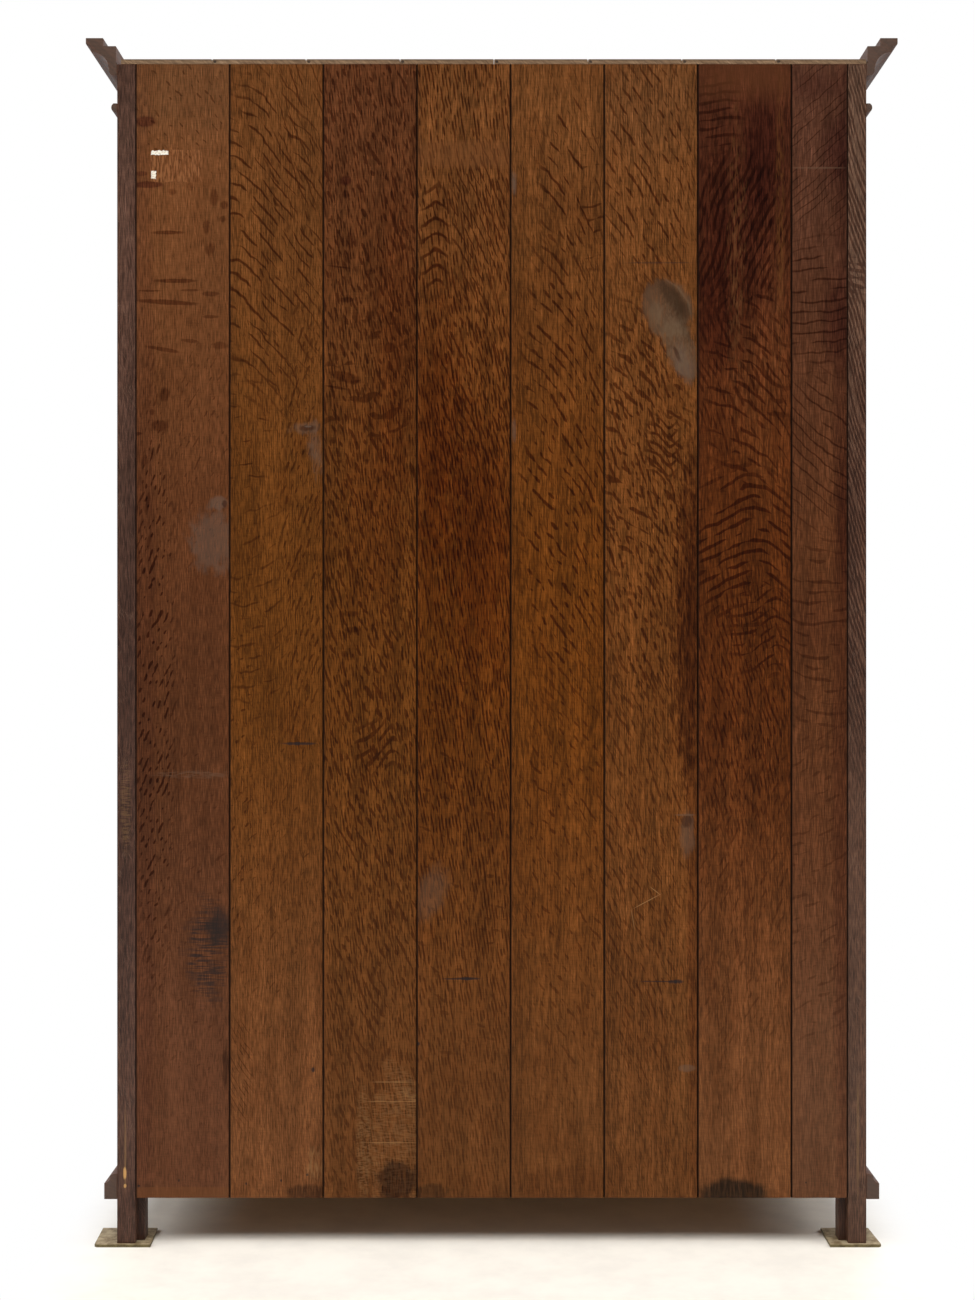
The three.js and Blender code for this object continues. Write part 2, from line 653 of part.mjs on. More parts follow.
// A door frame: stiles and rails glued up, with scribed joints, a chamfered opening, the panel's groove,
// the keyhole and the pockets of its hinge leaves
function buildDoor(group, suffix) {
  const opening = {
    x0: DOOR_INNER + DOOR.stile,
    x1: DOOR_OUTER - DOOR.stile,
    z0: DOOR_BOTTOM + DOOR.bottomRail,
    z1: DOOR_TOP - DOOR.topRail,
  };
  const middleY = (DOOR_FRONT + DOOR_BACK) / 2;
  const hole = block(
    [opening.x0, DOOR_FRONT - OVERRUN, opening.z0],
    [opening.x1, DOOR_BACK + OVERRUN, opening.z1],
  );
  const groove = block(
    [opening.x0 - PANEL.housing, middleY - PANEL.edge / 2 - HAIRLINE, opening.z0 - PANEL.housing],
    [opening.x1 + PANEL.housing, middleY + PANEL.edge / 2 + HAIRLINE, opening.z1 + PANEL.housing],
  );
  const ring = (grow, y) => [
    new THREE.Vector3(opening.x0 - grow, y, opening.z0 - grow),
    new THREE.Vector3(opening.x1 + grow, y, opening.z0 - grow),
    new THREE.Vector3(opening.x1 + grow, y, opening.z1 + grow),
    new THREE.Vector3(opening.x0 - grow, y, opening.z1 + grow),
  ];
  const chamfer = solidOf(
    new ConvexGeometry([...ring(DOOR.chamfer, DOOR_FRONT), ...ring(0, DOOR_FRONT + DOOR.chamfer)]),
  );
  const scribes = [];
  for (const x of [opening.x0, opening.x1]) {
    for (const y of [DOOR_FRONT, DOOR_BACK]) {
      for (const [z0, z1] of [
        [DOOR_BOTTOM - OVERRUN, opening.z0 + DOOR.scribe],
        [opening.z1 - DOOR.scribe, DOOR_TOP + OVERRUN],
      ]) {
        scribes.push(
          block([x - DOOR.scribe / 2, y - DOOR.scribe, z0], [x + DOOR.scribe / 2, y + DOOR.scribe, z1]),
        );
      }
    }
  }
  const pockets = Object.values(HINGES).map((z) =>
    hingePocket(PIN_X - LEAF_OUTER - HAIRLINE, DOOR_OUTER + OVERRUN, z),
  );
  const holeLength = DOOR.thickness + 2 * OVERRUN;
  const keyhole = rod(
    KEY.shank + KEY.holeFit,
    RADIAL.medium,
    [KEY_X, DOOR_FRONT - OVERRUN, LOCK.keyHeight],
    "y",
    holeLength,
  );
  const slot = block(
    [KEY_X - KEY.bitThickness / 2 - KEY.holeFit, DOOR_FRONT - OVERRUN, LOCK.keyHeight - KEY.reach - KEY.holeFit],
    [KEY_X + KEY.bitThickness / 2 + KEY.holeFit, DOOR_BACK + OVERRUN, LOCK.keyHeight],
  );
  const frame = cut(block([DOOR_INNER, DOOR_FRONT, DOOR_BOTTOM], [DOOR_OUTER, DOOR_BACK, DOOR_TOP]), [
    hole,
    groove,
    chamfer,
    ...scribes,
    ...pockets,
    keyhole,
    slot,
  ]);
  addPiece(group, `door_frame_${suffix}`, frame, "frontOak");
  const panel = fieldedPanel([opening.x0, opening.z0], [opening.x1, opening.z1], middleY - PANEL.edge / 2);
  addPiece(group, `door_panel_${suffix}`, panel, "frontOak");
}

// A butt hinge. Knuckles 1, 3 and 5 and the pin belong to the fixed leaf, 2 and 4 to the moving one.
function buildHinge(group, level, suffix) {
  const bottom = HINGES[level] - HINGE.height / 2;
  const pitch = HINGE.height / KNUCKLES;
  const knuckles = Array.from({ length: KNUCKLES }, (_, i) => ({
    isFixed: i % 2 === 0,
    z0: bottom + i * pitch + (i ? HINGE.knucklePlay / 2 : 0),
    z1: bottom + (i + 1) * pitch - (i < KNUCKLES - 1 ? HINGE.knucklePlay / 2 : 0),
  }));
  const leaf = (direction, own) => {
    const xs = [PIN_X + direction * LEAF_INNER, PIN_X + direction * LEAF_OUTER].sort((a, b) => a - b);
    const plate = block(
      [xs[0], PIN_Y + HINGE.barrel + HINGE.knucklePlay, bottom],
      [xs[1], PIN_Y + HINGE.leafDepth, bottom + HINGE.height],
    );
    const parts = own.flatMap(({ z0, z1 }) => [
      rod(HINGE.barrel, RADIAL.medium, [PIN_X, PIN_Y, z0], "z", z1 - z0),
      block([xs[0], PIN_Y, z0], [xs[1], PIN_Y + HINGE.barrel + 2 * HINGE.knucklePlay, z1]),
    ]);
    return join([plate, ...parts]);
  };
  const pin = rod(HINGE.pin, RADIAL.small, [PIN_X, PIN_Y, bottom], "z", HINGE.height);
  const bore = rod(HINGE.bore, RADIAL.small, [PIN_X, PIN_Y, bottom], "z", HINGE.height);
  const finial = (z) =>
    solidOf(new THREE.SphereGeometry(HINGE.finial, RADIAL.small, RADIAL.small / 2).translate(PIN_X, PIN_Y, z));
  const fixed = join([
    leaf(1, knuckles.filter((k) => k.isFixed)),
    pin,
    finial(bottom),
    finial(bottom + HINGE.height),
  ]);
  const moving = leaf(-1, knuckles.filter((k) => !k.isFixed)).subtract(bore);
  addPiece(group, `hinge_fixed_leaf_${level}_${suffix}`, fixed, "brass");
  addPiece(group, `hinge_moving_leaf_${level}_${suffix}`, moving, "brass");
}

// A rim lock on the back of the meeting stile. The bit turns once round and drives the bolt by its notch.
function buildLock(group, suffix) {
  const { wall } = LOCK;
  const low = [BOLT_HEAD, CASE_FRONT_OF_LOCK, LOCK.keyHeight - LOCK.below];
  const high = [BOLT_HEAD + LOCK.length, LOCK_BACK, LOCK.keyHeight + LOCK.above];
  const hollow = block(
    [low[0] + wall, CASE_FRONT_OF_LOCK - OVERRUN, low[2] + wall],
    [high[0] - wall, LOCK_BACK - wall, high[2] - wall],
  );
  const boltAt = (grow, head, tail) =>
    block(
      [head, BOLT_Y - BOLT.thickness / 2 - grow, BOLT_LOW - grow],
      [tail, BOLT_Y + BOLT.thickness / 2 + grow, BOLT_LOW + BOLT.height + grow],
    );
  const window = boltAt(BOLT.fit, BOLT_HEAD - OVERRUN, BOLT_HEAD + wall + OVERRUN);
  addPiece(group, `lock_case_${suffix}`, cut(block(low, high), [hollow, window]), "iron");

  // The notch spans where the bit's end passes, seen from the bolt, which moves on steadily meanwhile
  const dip = Math.sqrt(KEY.reach ** 2 - BOLT.rise ** 2);
  const drift = BOLT.throw * (Math.atan2(dip, BOLT.rise) / Math.PI / 2);
  const centre = KEY_X + BOLT.throw / 2;
  const halfNotch = dip - drift + KEY.bitThickness / 2 + KEY.bitPlay + BOLT.throw / 4;
  const notch = block(
    [centre - halfNotch, BOLT_Y - BOLT.thickness, BOLT_LOW - OVERRUN],
    [centre + halfNotch, BOLT_Y + BOLT.thickness, LOCK.keyHeight + KEY.reach + KEY.bitPlay],
  );
  addPiece(group, `lock_bolt_${suffix}`, boltAt(0, BOLT_HEAD, BOLT_TAIL).subtract(notch), "iron");

  const bowY = DOOR_FRONT - KEY.neck - KEY.bowRadius;
  const shankEnd = LOCK_BACK - wall - KEY.tipInset;
  const shank = rod(
    KEY.shank,
    RADIAL.small,
    [KEY_X, bowY + KEY.bowRadius - KEY.bowWidth / 2, LOCK.keyHeight],
    "y",
    shankEnd - (bowY + KEY.bowRadius - KEY.bowWidth / 2),
  );
  const bit = block(
    [KEY_X - KEY.bitThickness / 2, BOLT_Y - KEY.bitLength / 2, LOCK.keyHeight - KEY.reach],
    [KEY_X + KEY.bitThickness / 2, BOLT_Y + KEY.bitLength / 2, LOCK.keyHeight],
  );
  const collar = rod(
    KEY.collar,
    RADIAL.medium,
    [KEY_X, DOOR_FRONT - KEY.neck + KEY.collarLength, LOCK.keyHeight],
    "y",
    KEY.collarLength,
  );
  const ring = new THREE.Shape().absarc(0, 0, KEY.bowRadius, 0, 2 * Math.PI);
  ring.holes.push(new THREE.Path().absarc(0, 0, KEY.bowRadius - KEY.bowWidth, 0, 2 * Math.PI, true));
  const bow = new THREE.ExtrudeGeometry(ring, {
    depth: KEY.bowThickness,
    curveSegments: RADIAL.small,
    bevelEnabled: false,
  });
  bow.rotateY(Math.PI / 2).translate(KEY_X - KEY.bowThickness / 2, bowY, LOCK.keyHeight);
  addPiece(group, `key_${suffix}`, join([solidOf(bow), shank, bit, collar]), "iron");
}

buildBack(wardrobe);
buildRoof(wardrobe);
buildFloor(wardrobe);
buildRails(wardrobe);
buildMuntin(wardrobe);
buildMouldings();
buildInterior();
for (const [suffix, sign] of Object.entries(SIDES)) {
  const group = new THREE.Group();
  group.scale.x = sign;
  wardrobe.add(group);
  buildPosts(group, suffix);
  buildSide(group, suffix);
  buildPads(group, suffix);
  buildDoor(group, suffix);
  buildHinge(group, "upper", suffix);
  buildHinge(group, "lower", suffix);
  buildLock(group, suffix);
}

export default wardrobe;
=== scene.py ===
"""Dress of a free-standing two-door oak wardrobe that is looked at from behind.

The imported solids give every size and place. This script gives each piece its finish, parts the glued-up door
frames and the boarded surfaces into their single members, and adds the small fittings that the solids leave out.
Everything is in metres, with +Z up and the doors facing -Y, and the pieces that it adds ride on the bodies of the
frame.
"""

from __future__ import annotations

import logging
import math
import random
from contextlib import contextmanager
from dataclasses import dataclass, replace
from enum import Enum
from typing import Callable, Iterator, Optional, Sequence, Union

import bmesh
import bpy
from mathutils import Euler, Matrix, Vector


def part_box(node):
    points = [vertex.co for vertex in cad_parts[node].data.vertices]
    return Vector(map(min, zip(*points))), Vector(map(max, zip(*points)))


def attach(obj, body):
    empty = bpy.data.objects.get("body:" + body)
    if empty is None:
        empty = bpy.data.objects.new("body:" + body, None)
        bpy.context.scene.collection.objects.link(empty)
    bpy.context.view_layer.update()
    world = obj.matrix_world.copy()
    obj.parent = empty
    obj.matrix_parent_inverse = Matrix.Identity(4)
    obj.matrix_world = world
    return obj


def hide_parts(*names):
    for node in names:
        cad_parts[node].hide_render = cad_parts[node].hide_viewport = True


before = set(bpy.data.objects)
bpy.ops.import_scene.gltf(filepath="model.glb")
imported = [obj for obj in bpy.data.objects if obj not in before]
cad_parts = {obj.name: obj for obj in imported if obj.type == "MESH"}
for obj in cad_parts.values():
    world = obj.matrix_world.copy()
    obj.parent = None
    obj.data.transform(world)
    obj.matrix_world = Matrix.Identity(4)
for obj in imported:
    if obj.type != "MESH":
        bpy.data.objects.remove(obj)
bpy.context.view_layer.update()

log = logging.getLogger("wardrobe")

Socket = bpy.types.NodeSocket
Input = Union[float, Sequence[float], Socket]
Point = tuple[float, float, float]
Colour = tuple[float, float, float, float]

CASE = "case"
SIDES = {"left": -1, "right": 1}
LEVELS = ("upper", "lower")
WELD_DISTANCE = 0.00001
SAME_PLACE = 0.0001
ARRIS_ANGLE = math.radians(32)
FLAT_ANGLE = math.radians(1)
SAME_FACE_ANGLE = math.radians(0.6)


def linear(red: int, green: int, blue: int) -> Colour:
    """A colour as it shows on a screen, 0 to 255 a channel, as the linear RGBA that sockets take."""
    shares = (channel / 255 for channel in (red, green, blue))
    return (*(s / 12.92 if s <= 0.04045 else ((s + 0.055) / 1.055) ** 2.4 for s in shares), 1.0)


class Tone(Enum):
    """Colours of the stained and waxed oak, and of what lies on it."""

    TAN = linear(94, 57, 28)
    SAND = linear(103, 64, 36)
    HONEY = linear(89, 48, 13)
    UMBER = linear(79, 40, 9)
    CHESTNUT = linear(77, 38, 13)
    RUSSET = linear(82, 47, 26)
    CLAY = linear(91, 56, 36)
    PLUM = linear(75, 46, 33)
    WINE = linear(64, 32, 19)
    SMOKE = linear(75, 52, 42)
    DRIFT = linear(92, 69, 55)
    MOCHA = linear(82, 58, 45)
    ASH = linear(112, 88, 74)
    FRONT = linear(106, 62, 32)
    AMBER = linear(88, 50, 17)
    GOLD = linear(98, 57, 24)
    EMBER = linear(87, 46, 12)
    RAW = linear(150, 114, 74)
    ROOF = linear(146, 120, 94)


class Axis(Enum):
    """The way that the grain of a piece runs, and the turn that brings it upright."""

    X = Euler((0, -math.pi / 2, 0)).to_matrix()
    Y = Euler((math.pi / 2, 0, 0)).to_matrix()
    Z = Euler((0, 0, math.pi)).to_matrix()


class Graph:
    """A node tree, written down as sums, noises and masks."""

    def __init__(self, tree: bpy.types.NodeTree) -> None:
        """Starts writing in the tree of a material or of a node group."""
        self.tree = tree

    def node(self, kind: str, **settings: object) -> bpy.types.Node:
        """A new node.

        Args:
            kind: The node's type name, without the leading ShaderNode.
            settings: Properties of the node.

        Returns:
            The node.
        """
        made = self.tree.nodes.new("ShaderNode" + kind)
        for name, value in settings.items():
            setattr(made, name, value)
        return made

    def put(self, socket: Socket, value: Input) -> None:
        """Links a socket to an input, or sets a number or a colour on it."""
        if isinstance(value, bpy.types.NodeSocket):
            self.tree.links.new(value, socket)
        else:
            socket.default_value = value

    def fill(self, node: bpy.types.Node, **values: Input) -> bpy.types.Node:
        """Sets or links a node's sockets.

        Args:
            node: The node.
            values: What goes into its sockets, by name, with _ for a space.

        Returns:
            The node.
        """
        for name, value in values.items():
            self.put(node.inputs[name.replace("_", " ")], value)
        return node

    def math(self, operation: str, first: Input, second: Input = 0.0) -> Socket:
        """The result of a Math node."""
        made = self.node("Math", operation=operation)
        self.put(made.inputs[0], first)
        self.put(made.inputs[1], second)
        return made.outputs[0]

    def minus(self, first: Input, second: Input) -> Socket:
        """One number less another."""
        return self.math("SUBTRACT", first, second)

    def over(self, first: Input, second: Input) -> Socket:
        """One number divided by another."""
        return self.math("DIVIDE", first, second)

    def add(self, *terms: Input) -> Socket:
        """The sum of the terms."""
        total = terms[0]
        for term in terms[1:]:
            total = self.math("ADD", total, term)
        return total

    def times(self, *factors: Input) -> Socket:
        """The product of the factors."""
        product = factors[0]
        for factor in factors[1:]:
            product = self.math("MULTIPLY", product, factor)
        return product

    def most(self, *values: Input) -> Socket:
        """The largest of the values."""
        result = values[0]
        for value in values[1:]:
            result = self.math("MAXIMUM", result, value)
        return result

    def smooth(self, value: Input, low: Input, high: Input) -> Socket:
        """0 up to low, 1 from high on, and a smooth step between them."""
        made = self.node("MapRange", interpolation_type="SMOOTHSTEP")
        for index, part in enumerate((value, low, high)):
            self.put(made.inputs[index], part)
        return made.outputs[0]

    def mix(self, factor: Input, first: Input, second: Input, blend: str = "MIX") -> Socket:
        """Two colours mixed by a factor."""
        made = self.node("Mix", data_type="RGBA", blend_type=blend)
        self.put(made.inputs[0], factor)
        self.put(made.inputs[6], first)
        self.put(made.inputs[7], second)
        return made.outputs[2]

    def tinted(self, colour: Input, tint: Input) -> Socket:
        """A colour multiplied by another."""
        return self.mix(1.0, colour, tint, "MULTIPLY")

    def between(self, factor: Input, first: Input, second: Input) -> Socket:
        """Two numbers mixed by a factor."""
        made = self.node("Mix", data_type="FLOAT")
        self.put(made.inputs[0], factor)
        self.put(made.inputs[2], first)
        self.put(made.inputs[3], second)
        return made.outputs[0]

    def vector(self, x: Input, y: Input, z: Input) -> Socket:
        """Three numbers as a vector."""
        made = self.node("CombineXYZ")
        for index, part in enumerate((x, y, z)):
            self.put(made.inputs[index], part)
        return made.outputs[0]

    def split(self, vector: Input) -> tuple[Socket, Socket, Socket]:
        """A vector as three numbers."""
        made = self.node("SeparateXYZ")
        self.put(made.inputs[0], vector)
        return made.outputs[0], made.outputs[1], made.outputs[2]

    def noise(self, vector: Input, detail: float = 1.0, scale: float = 1.0, roughness: float = 0.5) -> Socket:
        """Smooth noise about 0.5.

        Args:
            vector: Where it is read.
            detail: Octaves.
            scale: Features in each unit.
            roughness: Weight of the finer octaves.

        Returns:
            The value.
        """
        made = self.node("TexNoise", noise_dimensions="3D")
        return self.fill(made, Vector=vector, Scale=scale, Detail=detail, Roughness=roughness).outputs[0]

    def call(self, effect: Effect, **values: Input) -> bpy.types.Node:
        """A shared effect, placed with its own values.

        Args:
            effect: The effect.
            values: What goes into its sockets, by name, with _ for a space.

        Returns:
            The group node.
        """
        return self.fill(self.node("Group", node_tree=effect.group()), **values)

    def bump(self, height: Input, strength: float, distance: float) -> Socket:
        """A normal that follows a height.

        Args:
            height: The height.
            strength: How far the normal follows it.
            distance: What a height of 1 is, in metres.

        Returns:
            The normal.
        """
        return self.fill(self.node("Bump"), Strength=strength, Distance=distance, Height=height).outputs[0]

    def surface(self, **values: Input) -> None:
        """Ends a material in a principled surface, its sockets set by name, with _ for a space."""
        shader = self.fill(self.node("BsdfPrincipled"), **values)
        self.put(self.node("OutputMaterial").inputs[0], shader.outputs[0])


def new_material(name: str) -> tuple[bpy.types.Material, Graph]:
    """A material with no nodes yet, and the graph that writes them."""
    made = bpy.data.materials.new(name)
    made.use_nodes = True
    made.node_tree.nodes.clear()
    return made, Graph(made.node_tree)


class Effect(Enum):
    """Effects that more than one material uses, each a node group that is built at its first use."""

    GRAIN = "grain"
    FLECKS = "flecks"
    PATCH = "patch"
    ARRIS = "arris"
    SCRATCHES = "scratches"
    END_GRAIN = "end_grain"
    DUST = "dust"

    def group(self) -> bpy.types.NodeTree:
        """The effect's node group."""
        found = bpy.data.node_groups.get(self.value)
        return found or EFFECT_BUILDERS[self]()


def new_group(
    effect: Effect, vectors: Sequence[str], numbers: Sequence[str], results: Sequence[str] = ("Mask",)
) -> tuple[Graph, dict[str, Socket], Callable]:
    """An empty node group with its sockets.

    Args:
        effect: The effect, which names it.
        vectors: Names of the inputs that are vectors.
        numbers: Names of the inputs that are numbers.
        results: Names of the outputs, which are numbers.

    Returns:
        The graph, the input sockets by name, and a function that links the outputs by name.
    """
    tree = bpy.data.node_groups.new(effect.value, "ShaderNodeTree")
    plan = (("INPUT", "Vector", vectors), ("INPUT", "Float", numbers), ("OUTPUT", "Float", results))
    for way, kind, names in plan:
        for name in names:
            tree.interface.new_socket(name=name, in_out=way, socket_type="NodeSocket" + kind)
    source = tree.nodes.new("NodeGroupInput")
    target = tree.nodes.new("NodeGroupOutput")
    given = {name: source.outputs[name] for name in (*vectors, *numbers)}

    def give(**values: Socket) -> None:
        for name, value in values.items():
            tree.links.new(value, target.inputs[name.replace("_", " ")])

    return Graph(tree), given, give


def face_place(g: Graph, vector: Input) -> tuple[Socket, Socket]:
    """Place on a board's face: across it and along its grain. Faces of both directions vary alike."""
    x, y, z = g.split(vector)
    return g.add(x, y), z


@dataclass(frozen=True)
class GrainLayer:
    """Noise drawn out along the grain: its features in a metre each way, and the levels that it shows between."""

    across: float
    along: float
    shift: float
    detail: float
    low: float
    high: float
    roughness: float = 0.5


GRAIN_LAYERS = {
    "Streaks": GrainLayer(600, 46, 0, 1.5, 0.3, 0.7),
    "Pores": GrainLayer(540, 52, 9, 1, 0.52, 0.68),
    "Bands": GrainLayer(40, 2.2, 21, 3, 0.28, 0.72, 0.6),
    "Clouds": GrainLayer(26, 11, 33, 3, 0.42, 0.68, 0.6),
    "Ripples": GrainLayer(70, 480, 45, 1, 0.3, 0.7),
    "Glints": GrainLayer(680, 32, 57, 1, 0.6, 0.74),
}


def build_grain() -> bpy.types.NodeTree:
    """Streaks, pores and slow bands of sawn oak, with the grain along Z."""
    g, given, give = new_group(Effect.GRAIN, ("Vector",), ("Seed",), tuple(GRAIN_LAYERS))
    across, along = face_place(g, given["Vector"])
    shown = {}
    for name, layer in GRAIN_LAYERS.items():
        shift = g.add(given["Seed"], layer.shift) if layer.shift else given["Seed"]
        place = g.vector(g.times(across, layer.across), shift, g.times(along, layer.along))
        shown[name] = g.smooth(g.noise(place, layer.detail, roughness=layer.roughness), layer.low, layer.high)
    give(**shown)
    return g.tree


FLECK_SOCKETS = (
    "Spacing", "Slope", "Bend", "Arch", "Arch X", "Arch Width", "Swirl", "Length", "Thickness", "Coverage",
)
FLECK_EDGE = 0.22
PATCH_SOCKETS = ("X", "Z", "Half Width", "Half Height", "Turn", "Power", "Edge", "Ragged")


def build_flecks() -> bpy.types.NodeTree:
    """Flecks of the medullary rays: spindles strung along the contour lines of a slanted, bent, stirred slope."""
    g, given, give = new_group(Effect.FLECKS, ("Vector",), (*FLECK_SOCKETS, "Seed"))
    across, along = face_place(g, given["Vector"])
    seed = given["Seed"]
    slow = g.minus(g.noise(g.vector(g.times(across, 10), seed, g.times(along, 4)), 1), 0.5)
    quick = g.minus(g.noise(g.vector(g.times(across, 45), g.add(seed, 3), g.times(along, 45)), 1.5), 0.5)
    from_arch = g.over(g.minus(across, given["Arch X"]), given["Arch Width"])
    arch = g.times(given["Arch"], g.math("EXPONENT", g.times(from_arch, from_arch, -1.0)))
    lean = g.add(g.times(given["Slope"], across), g.times(given["Bend"], across, across), arch)
    height = g.over(g.add(along, lean), given["Spacing"])
    height = g.add(height, g.times(given["Swirl"], slow), g.times(quick, 0.6))
    index = g.math("FLOOR", height)
    off_line = g.minus(1, g.times(g.math("PINGPONG", height, 0.5), 2))
    run = [g.over(part, given["Length"]) for part in (across, along)]
    gate = g.noise(g.vector(run[0], g.add(g.times(index, 3.7), seed), run[1]), 0.6)
    start = g.minus(1, given["Coverage"])
    swell = g.times(given["Thickness"], g.smooth(gate, start, g.add(start, FLECK_EDGE)))
    give(Mask=g.smooth(g.minus(swell, off_line), 0.0, FLECK_EDGE))
    return g.tree


def build_patch() -> bpy.types.NodeTree:
    """A mark of its own at one place of a face: an oval or a block with a soft, ragged edge."""
    g, given, give = new_group(Effect.PATCH, ("Vector",), PATCH_SOCKETS)
    x, _, z = g.split(given["Vector"])
    dx, dz = g.minus(x, given["X"]), g.minus(z, given["Z"])
    sine, cosine = g.math("SINE", given["Turn"]), g.math("COSINE", given["Turn"])
    u = g.minus(g.times(dx, cosine), g.times(dz, sine))
    v = g.add(g.times(dx, sine), g.times(dz, cosine))
    shares = [
        g.math("POWER", g.over(g.math("ABSOLUTE", part), size), given["Power"])
        for part, size in ((u, given["Half Width"]), (v, given["Half Height"]))
    ]
    reach = g.math("POWER", g.add(*shares), g.over(1, given["Power"]))
    fray = g.minus(g.noise(g.vector(x, 0.3, g.times(z, 0.6)), 3, 84, 0.62), 0.5)
    reach = g.add(reach, g.times(fray, given["Ragged"]))
    low, high = g.minus(1, given["Edge"]), g.add(1, given["Edge"])
    give(Mask=g.minus(1, g.smooth(reach, low, high)))
    return g.tree


def build_arris() -> bpy.types.NodeTree:
    """Nearness to the edges of a piece that fills a box."""
    g, given, give = new_group(Effect.ARRIS, ("Vector", "Low", "High"), ("Width",))
    place = given["Vector"]
    axes = zip(g.split(place), g.split(given["Low"]), g.split(given["High"]))
    a, b, c = [g.math("MINIMUM", g.minus(value, low), g.minus(high, value)) for value, low, high in axes]
    middle = g.most(g.math("MINIMUM", a, b), g.math("MINIMUM", g.most(a, b), c))
    uneven = g.times(g.noise(place, 3, 90), given["Width"], 1.4)
    give(Mask=g.minus(1, g.smooth(middle, 0.0, uneven)))
    return g.tree


def build_scratches() -> bpy.types.NodeTree:
    """Thin scratches in two slants, sparse and broken."""
    g, given, give = new_group(Effect.SCRATCHES, ("Vector",), ("Amount", "Seed"))
    across, along = face_place(g, given["Vector"])
    total: Input = 0.0
    for index, (slant, stretch) in enumerate(((0.5, 0.06), (-0.35, 0.05))):
        side = g.add(across, g.times(along, slant))
        run = g.minus(along, g.times(across, slant))
        seed = g.add(given["Seed"], index * 4.7)
        hair = g.noise(g.vector(g.times(side, 900), seed, g.times(run, 900 * stretch)), 0)
        gate = g.noise(g.vector(g.times(across, 22), seed, g.times(along, 22)), 1)
        start = g.minus(1, given["Amount"])
        hairs = g.smooth(hair, start, g.add(start, 0.05))
        total = g.most(total, g.times(hairs, g.smooth(gate, 0.52, 0.62)))
    give(Mask=total)
    return g.tree


def build_end_grain() -> bpy.types.NodeTree:
    """Where a face is cut across the grain, and the growth rings and pores that show there."""
    g, given, give = new_group(Effect.END_GRAIN, ("Vector", "Normal"), ("Seed",), ("Mask", "Rings"))
    _, _, upright = g.split(given["Normal"])
    x, y, _ = g.split(given["Vector"])
    warp = g.noise(g.vector(x, y, given["Seed"]), 1, 25)
    rings = g.math("PINGPONG", g.add(g.times(y, 300), g.times(x, 60), g.times(warp, 5)), 1)
    specks = g.noise(g.vector(g.times(x, 1400), g.times(y, 1400), given["Seed"]), 1)
    give(
        Mask=g.smooth(g.math("ABSOLUTE", upright), 0.6, 0.8),
        Rings=g.add(g.times(rings, 0.5), g.times(specks, 0.5)),
    )
    return g.tree


def build_dust() -> bpy.types.NodeTree:
    """Dust on faces that look up, thicker in some places."""
    g, given, give = new_group(Effect.DUST, ("Vector", "Normal"), ("Amount",))
    _, _, upwards = g.split(given["Normal"])
    cover = g.noise(given["Vector"], 6, 34, 0.7)
    give(Mask=g.times(g.smooth(upwards, 0.4, 0.95), g.smooth(cover, 0.1, 0.9), given["Amount"]))
    return g.tree


EFFECT_BUILDERS: dict[Effect, Callable[[], bpy.types.NodeTree]] = {
    Effect.GRAIN: build_grain,
    Effect.FLECKS: build_flecks,
    Effect.PATCH: build_patch,
    Effect.ARRIS: build_arris,
    Effect.SCRATCHES: build_scratches,
    Effect.END_GRAIN: build_end_grain,
    Effect.DUST: build_dust,
}


@dataclass(frozen=True)
class Region:
    """Part of a face, softly bounded, that a layer of flecks keeps to. In metres, about a centre."""

    x: float
    z: float
    half_width: float
    half_height: float
    turn: float = 0.0
    power: float = 2.0
    edge: float = 0.35
    ragged: float = 0.5


@dataclass(frozen=True)
class Flecks:
    """One layer of ray flecks. Lengths are in metres, and the arch stands at a place across the piece."""

    spacing: float = 0.012
    slope: float = 0.4
    bend: float = 0.0
    swirl: float = 2.5
    length: float = 0.02
    thickness: float = 0.75
    coverage: float = 0.5
    strength: float = 0.75
    arch: float = 0.0
    arch_x: float = 0.0
    arch_width: float = 0.02
    region: Optional[Region] = None


FINE = Flecks(spacing=0.0085, slope=2.2, swirl=3.5, length=0.0085, thickness=0.75, coverage=0.52, strength=0.6)


@dataclass(frozen=True)
class Mark:
    """A stain, worn place or scar on a face. Its place and sizes are in metres, its turn in degrees."""

    x: float
    z: float
    half_width: float
    half_height: float
    colour: Colour
    strength: float = 1.0
    turn: float = 0.0
    power: float = 2.0
    edge: float = 0.25
    ragged: float = 0.6
    blend: str = "MIX"
    depth: float = 0.0
    streak: Optional[Point] = None


def fields(record: Union[Flecks, Region, Mark], sockets: Sequence[str]) -> dict[str, float]:
    """The values of a record's fields, by the names of the sockets that they go into."""
    return {name: getattr(record, name.lower().replace(" ", "_")) for name in sockets}


def patch_mask(g: Graph, place: Socket, spot: Union[Region, Mark]) -> Socket:
    """The mask of a region or a mark.

    Args:
        g: The graph of the material.
        place: Object coordinates.
        spot: What is masked.

    Returns:
        1 inside and 0 outside.
    """
    values = {**fields(spot, PATCH_SOCKETS), "Turn": math.radians(spot.turn)}
    return g.call(Effect.PATCH, Vector=place, **values).outputs[0]


MILLIMETRE = 0.001
FLECK_TINT = (0.34, 0.23, 0.18, 1)
PORE_TINT = (0.62, 0.52, 0.46, 1)
GLINT_TINT = (1.75, 1.8, 1.95, 1)
RING_TINTS = ((0.42, 0.4, 0.4, 1), (0.8, 0.78, 0.76, 1))
# Near-black of the board joints: dirt in the gaps, and painted shade where the gap's shadow falls.
JOINT_GRIME_AND_SHADE = linear(26, 15, 10)
DUST_GREY = linear(168, 158, 144)
LOW_SPAN = (0.1, 0.95)
HIGH_SPAN = (1.05, 1.95)
FADE_SPAN = (0.05, 0.85)
BAND_SWING = (-0.13, 0.12)
STREAK_SWING = (-0.26, 0.34)
RIPPLE_SPAN = (0.93, 1.07)
ROUGHNESS_SWING = (-0.08, 0.1)
STREAK_RISE, PORE_RISE, RAY_RISE = 0.06, -0.08, 0.03
GLINT_SHARE, PORE_SHARE, SCRATCH_SHARE = 0.62, 0.5, 0.4
